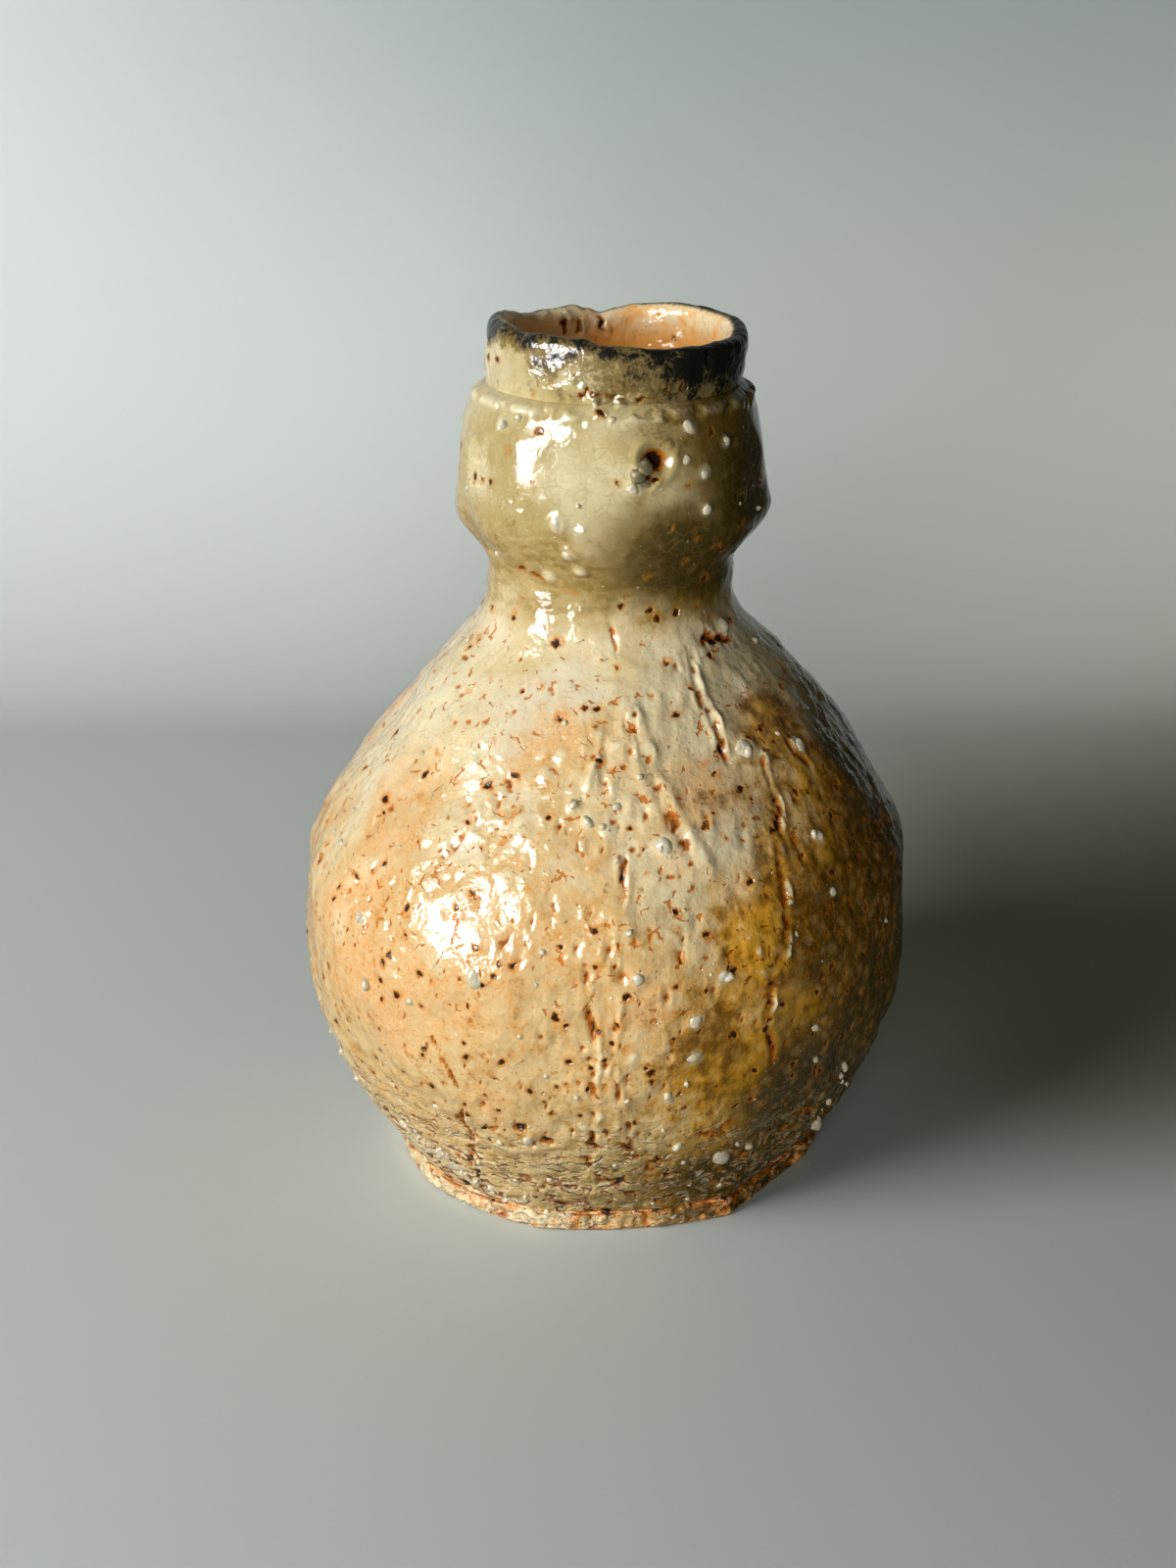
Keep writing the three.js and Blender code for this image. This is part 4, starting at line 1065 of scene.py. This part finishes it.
    crackle = (1 - mm.cells(0.3, "DISTANCE_TO_EDGE").step(0.0, 0.05)) * 0.8
    crackle = crackle + (1 - drag.cells(0.75, "DISTANCE_TO_EDGE").step(0.0, 0.08)) * 0.5
    hair = crackle * craze * broad.step(0.3, 0.55)
    hair_colour = start.share("torn").over(CRAZE_BROWN, TEAR_ORANGE)
    colour = (hair * 0.5).over(colour, hair_colour)
    colour = (start.share("welt").step(0.25, 0.9) * 0.75).over(colour, ASH_PALE)
    speck_gap = mm.cells(0.36) / (0.05 + mm.cells(0.36, output="Color") * 0.12)
    speck = 1 - speck_gap.step(0.5, 1.0)
    colour = (speck * 0.5).over(colour, SPECK)

    halo = start.share("hollow").step(0.15, 0.55) * 0.8 + torn_halo * 0.75 + pit_halo * 0.85 + dots
    halo = (halo + start.share("tear") * 0.25) * (0.55 + fine_grain * 0.5)
    # Painted shade in the marks: they stay orange in the torn band, and turn brown where olive shade or amber lies and
    # elsewhere.
    shaded = (start.share("olive_and_painted_shade") + start.share("amber") + (1 - start.share("torn"))).step(0.2, 0.9)
    colour = (halo.step(0.0, 1.0) * 0.8).over(colour, shaded.over(TEAR_ORANGE, HALO_BROWN))
    colour = (torn * 0.8).over(colour, shaded.over(TEAR_RED, RUST_DARK))
    ragged = start.share("hollow") + (fine_grain - 0.5) * start.share("hollow").step(0.05, 0.3) * 0.6
    ragged = ragged * (0.85 + mm.cloud(0.9, 2) * 0.8)
    core = ragged + pit * (0.62 + pit * 0.5) + torn * 0.1 + level_cracks * 0.85
    colour = (core.step(0.3, 0.75) * 0.9).over(colour, fine_grain.step(0.35, 0.6).over(RUST_DARK, RUST))
    colour = core.step(0.82, 1.15).over(colour, PIT_BLACK)

    soot = start.share("smoke") + (middling - 0.5) * 1.1 + (fine_grain - 0.5) * 0.7
    colour = (soot.step(0.1, 0.5) * 0.8).over(colour, SMOKE_BROWN)
    colour = soot.step(0.5, 0.85).over(colour, SMOKE)

    rough_skin = 0.3 + start.share("ochre") * 0.7
    relief = (middling * 0.5 + bowls * 0.4 * rough_skin) * wave + (leather * 0.11 + fine_grain * 0.04) * rough_skin
    relief = relief + (folds * 1.3 + fine_grain * 0.35) * start.share("dry")
    relief = relief - hair * 0.02 - torn * 0.14 - torn_halo * 0.06 - pit * 0.5 - level_cracks * 1.0 + speck * 0.15
    dull = roughness + start.share("dry") * 0.3 + soot.step(0.3, 0.8) * 0.12 + core.step(0.3, 0.9) * 0.1
    finish_material(start, dull, colour, relief)
    return material


belly_skin.data.materials.append(fired_skin("flashed glaze"))
bulb_skin.data.materials.append(fired_skin("ash glaze", BULB_CREAM, BULB_DEEP, roughness=0.05, craze=0.7, tears=0.3, wave=0.35))
collar_skin.data.materials.append(
    fired_skin("smoked glaze", BULB_CREAM, BULB_DEEP, roughness=0.12, craze=0.3, tears=0, wave=1.2))
foot_edge.data.materials.append(fired_skin("bare clay", roughness=0.35, craze=0, tears=0, ground=0.55))
print("glazes mixed:", [material.name for material in bpy.data.materials])

# %% [markdown]
# ## Melted feldspar
# The grains are white with a grey, waxy gloss. Where the glaze climbs up their sides they turn
# cream. A little noise in the colour and the relief keeps them from looking like beads.

# %% Glaze the grains
def melted_feldspar(name, white, cream, roughness):
    material, start = new_material(name)
    mm = millimetres(start)
    cloudy, fine_grain = mm.cloud(0.7, 2), mm.cloud(2.6, 2)
    colour = cloudy.step(0.42, 0.66).over(white, cream)
    colour = (fine_grain.step(0.6, 0.75) * 0.5).over(colour, (0.4, 0.33, 0.18, 1))
    finish_material(start, roughness + fine_grain * 0.1, colour, cloudy * 0.3 + fine_grain * 0.08)
    return material


glassy = melted_feldspar("feldspar glass", (0.58, 0.54, 0.41, 1), (0.58, 0.48, 0.27, 1), 0.16)
sugary = melted_feldspar("kiln grit", (0.68, 0.63, 0.50, 1), (0.60, 0.46, 0.27, 1), 0.42)
ashy = melted_feldspar("ashy feldspar", (0.20, 0.17, 0.09, 1), (0.34, 0.28, 0.15, 1), 0.3)
for grain in large_grains + [fine_grains]:
    grain.data.materials.append(glassy)
hole_grains.data.materials.append(ashy)
kiln_grit.data.materials.append(sugary)
print("grains glazed:", len(large_grains) + 2, "pieces")

# %% [markdown]
# ## Floor and light
# The vase stands on a pale sheet that sweeps up close behind it without a line. One softbox low
# on the left lights it and leaves the right side in soft shade, which shows every pit. The
# upright part of the sheet faces the softbox more than the floor does, so it is brighter, most
# of all on the left, and the sheet's colour adds painted light to this: it is paler there and
# darker to the right. A painted shadow also darkens the floor to the right of the vase. The
# glaze also mirrors the softbox. A second lamp in the same place gives only this mirror image,
# so that it is as bright as in the photograph while the clay is lit at a plain level.

# %% Sweep the floor
SWEEP_START, SWEEP_RADIUS, SWEEP_TOP = 0.28, 0.25, 2.4
sweep = ([(-2.5, 0)]
         + [(SWEEP_START + SWEEP_RADIUS * math.sin(math.radians(turn)), SWEEP_RADIUS * (1 - math.cos(math.radians(turn))))
            for turn in range(0, 91, 3)]
         + [(SWEEP_START + SWEEP_RADIUS, SWEEP_TOP)])
sheet = bmesh.new()
line = [sheet.verts.new((-3.5, y, z)) for y, z in sweep]
edges = [sheet.edges.new(pair) for pair in zip(line, line[1:])]
pulled = bmesh.ops.extrude_edge_only(sheet, edges=edges)["geom"]
bmesh.ops.translate(sheet, vec=(7, 0, 0), verts=[item for item in pulled if isinstance(item, bmesh.types.BMVert)])
bmesh.ops.recalc_face_normals(sheet, faces=sheet.faces)
if sum(face.normal.z for face in sheet.faces) < 0:
    bmesh.ops.reverse_faces(sheet, faces=sheet.faces)
floor_mesh = bpy.data.meshes.new("floor")
sheet.to_mesh(floor_mesh)
floor_mesh.polygons.foreach_set("use_smooth", np.ones(len(floor_mesh.polygons), bool))
floor = bpy.data.objects.new("floor", floor_mesh)
bpy.context.scene.collection.objects.link(floor)
floor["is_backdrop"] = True

floor_material, start = new_material("pale sheet")
mm = millimetres(start)
across = start.node("ShaderNodeSeparateXYZ", inputs={0: mm})
backwards = start.node("ShaderNodeSeparateXYZ", inputs={0: mm}, output=1)
height = start.node("ShaderNodeSeparateXYZ", inputs={0: mm}, output=2)
# Painted light: the sheet is paler on the left, towards the softbox, darker to the right, and paler on its upright part
# than on the floor.
near_colour = across.step(-480, 480).over((0.73, 0.80, 0.80, 1), (0.47, 0.51, 0.46, 1))
turn_colour = across.step(-480, 480).over((0.93, 0.99, 1.0, 1), (0.80, 0.87, 0.78, 1))
wall_colour = across.step(-420, 90).over((0.90, 0.95, 1.0, 1), (0.425, 0.495, 0.46, 1))
sheet_colour = backwards.step(-120, 360).over(near_colour, turn_colour)
# A painted shadow: the floor to the right of the vase, where its shadow falls, is darkened and tinted green.
shaded_side = across.step(30, 130) * backwards.step(-60, 30) * (1 - backwards.step(150, 380))
sheet_colour = (shaded_side * 0.75).over(sheet_colour, (0.15, 0.18, 0.10, 1))
sheet_colour = height.step(40, 330).over(sheet_colour, wall_colour)
# Painted shade: the far right of the sheet is dark.
sheet_colour = across.step(290, 440).over(sheet_colour, (0.13, 0.135, 0.12, 1))
rays = [start.node("ShaderNodeLightPath", output=f"Is {kind} Ray") for kind in ("Camera", "Glossy", "Transmission")]
mirrored = rays[0] + rays[1] + rays[2]
sheet_colour = mirrored.over((0.11, 0.105, 0.07, 1), sheet_colour)
finish_material(start, 1.0, sheet_colour, mm.cloud(0.8, 2) * 0.02, ior=1.0)
floor.data.materials.append(floor_material)
print("the sheet turns up", SWEEP_START, "m behind the vase")

# %% Hang the lamps
def softbox(name, azimuth, elevation, distance, size, watts, mirror_only=False, glossy=True):
    lamp = bpy.data.lights.new(name, "AREA")
    lamp.shape = "RECTANGLE"
    lamp.size, lamp.size_y = size
    lamp.energy = watts
    holder = bpy.data.objects.new(name, lamp)
    turn, rise = math.radians(azimuth), math.radians(elevation)
    away = Vector((math.cos(turn) * math.cos(rise), math.sin(turn) * math.cos(rise), math.sin(rise)))
    holder.location = Vector((0, 0, 0.11)) + away * distance
    holder.rotation_euler = away.to_track_quat("Z", "Y").to_euler()
    holder.visible_camera = False
    holder.visible_glossy = glossy
    if mirror_only:
        holder.visible_diffuse = False
        holder.visible_transmission = False
    bpy.context.scene.collection.objects.link(holder)
    return holder


softbox("key softbox", -147, 20, 1.1, (0.6, 0.6), 11.1)
softbox("front fill", -102, 3, 1.3, (0.7, 0.28), 8.4, glossy=False)
softbox("key in the glaze", -146, 15, 1.09, (0.58, 0.62), 155, mirror_only=True)

world = bpy.data.worlds.new("studio")
world.use_nodes = True
world.node_tree.nodes.clear()
start = Wire(world.node_tree)
air = start.node("ShaderNodeBackground", inputs={"Color": (1.0, 0.93, 0.72, 1), "Strength": 0.05})
start.node("ShaderNodeOutputWorld", inputs={"Surface": air})
bpy.context.scene.world = world

# %% Write the sizes and finish
low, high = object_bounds()
print("visual box in mm:", [round(side / MM, 1) for side in high - low])
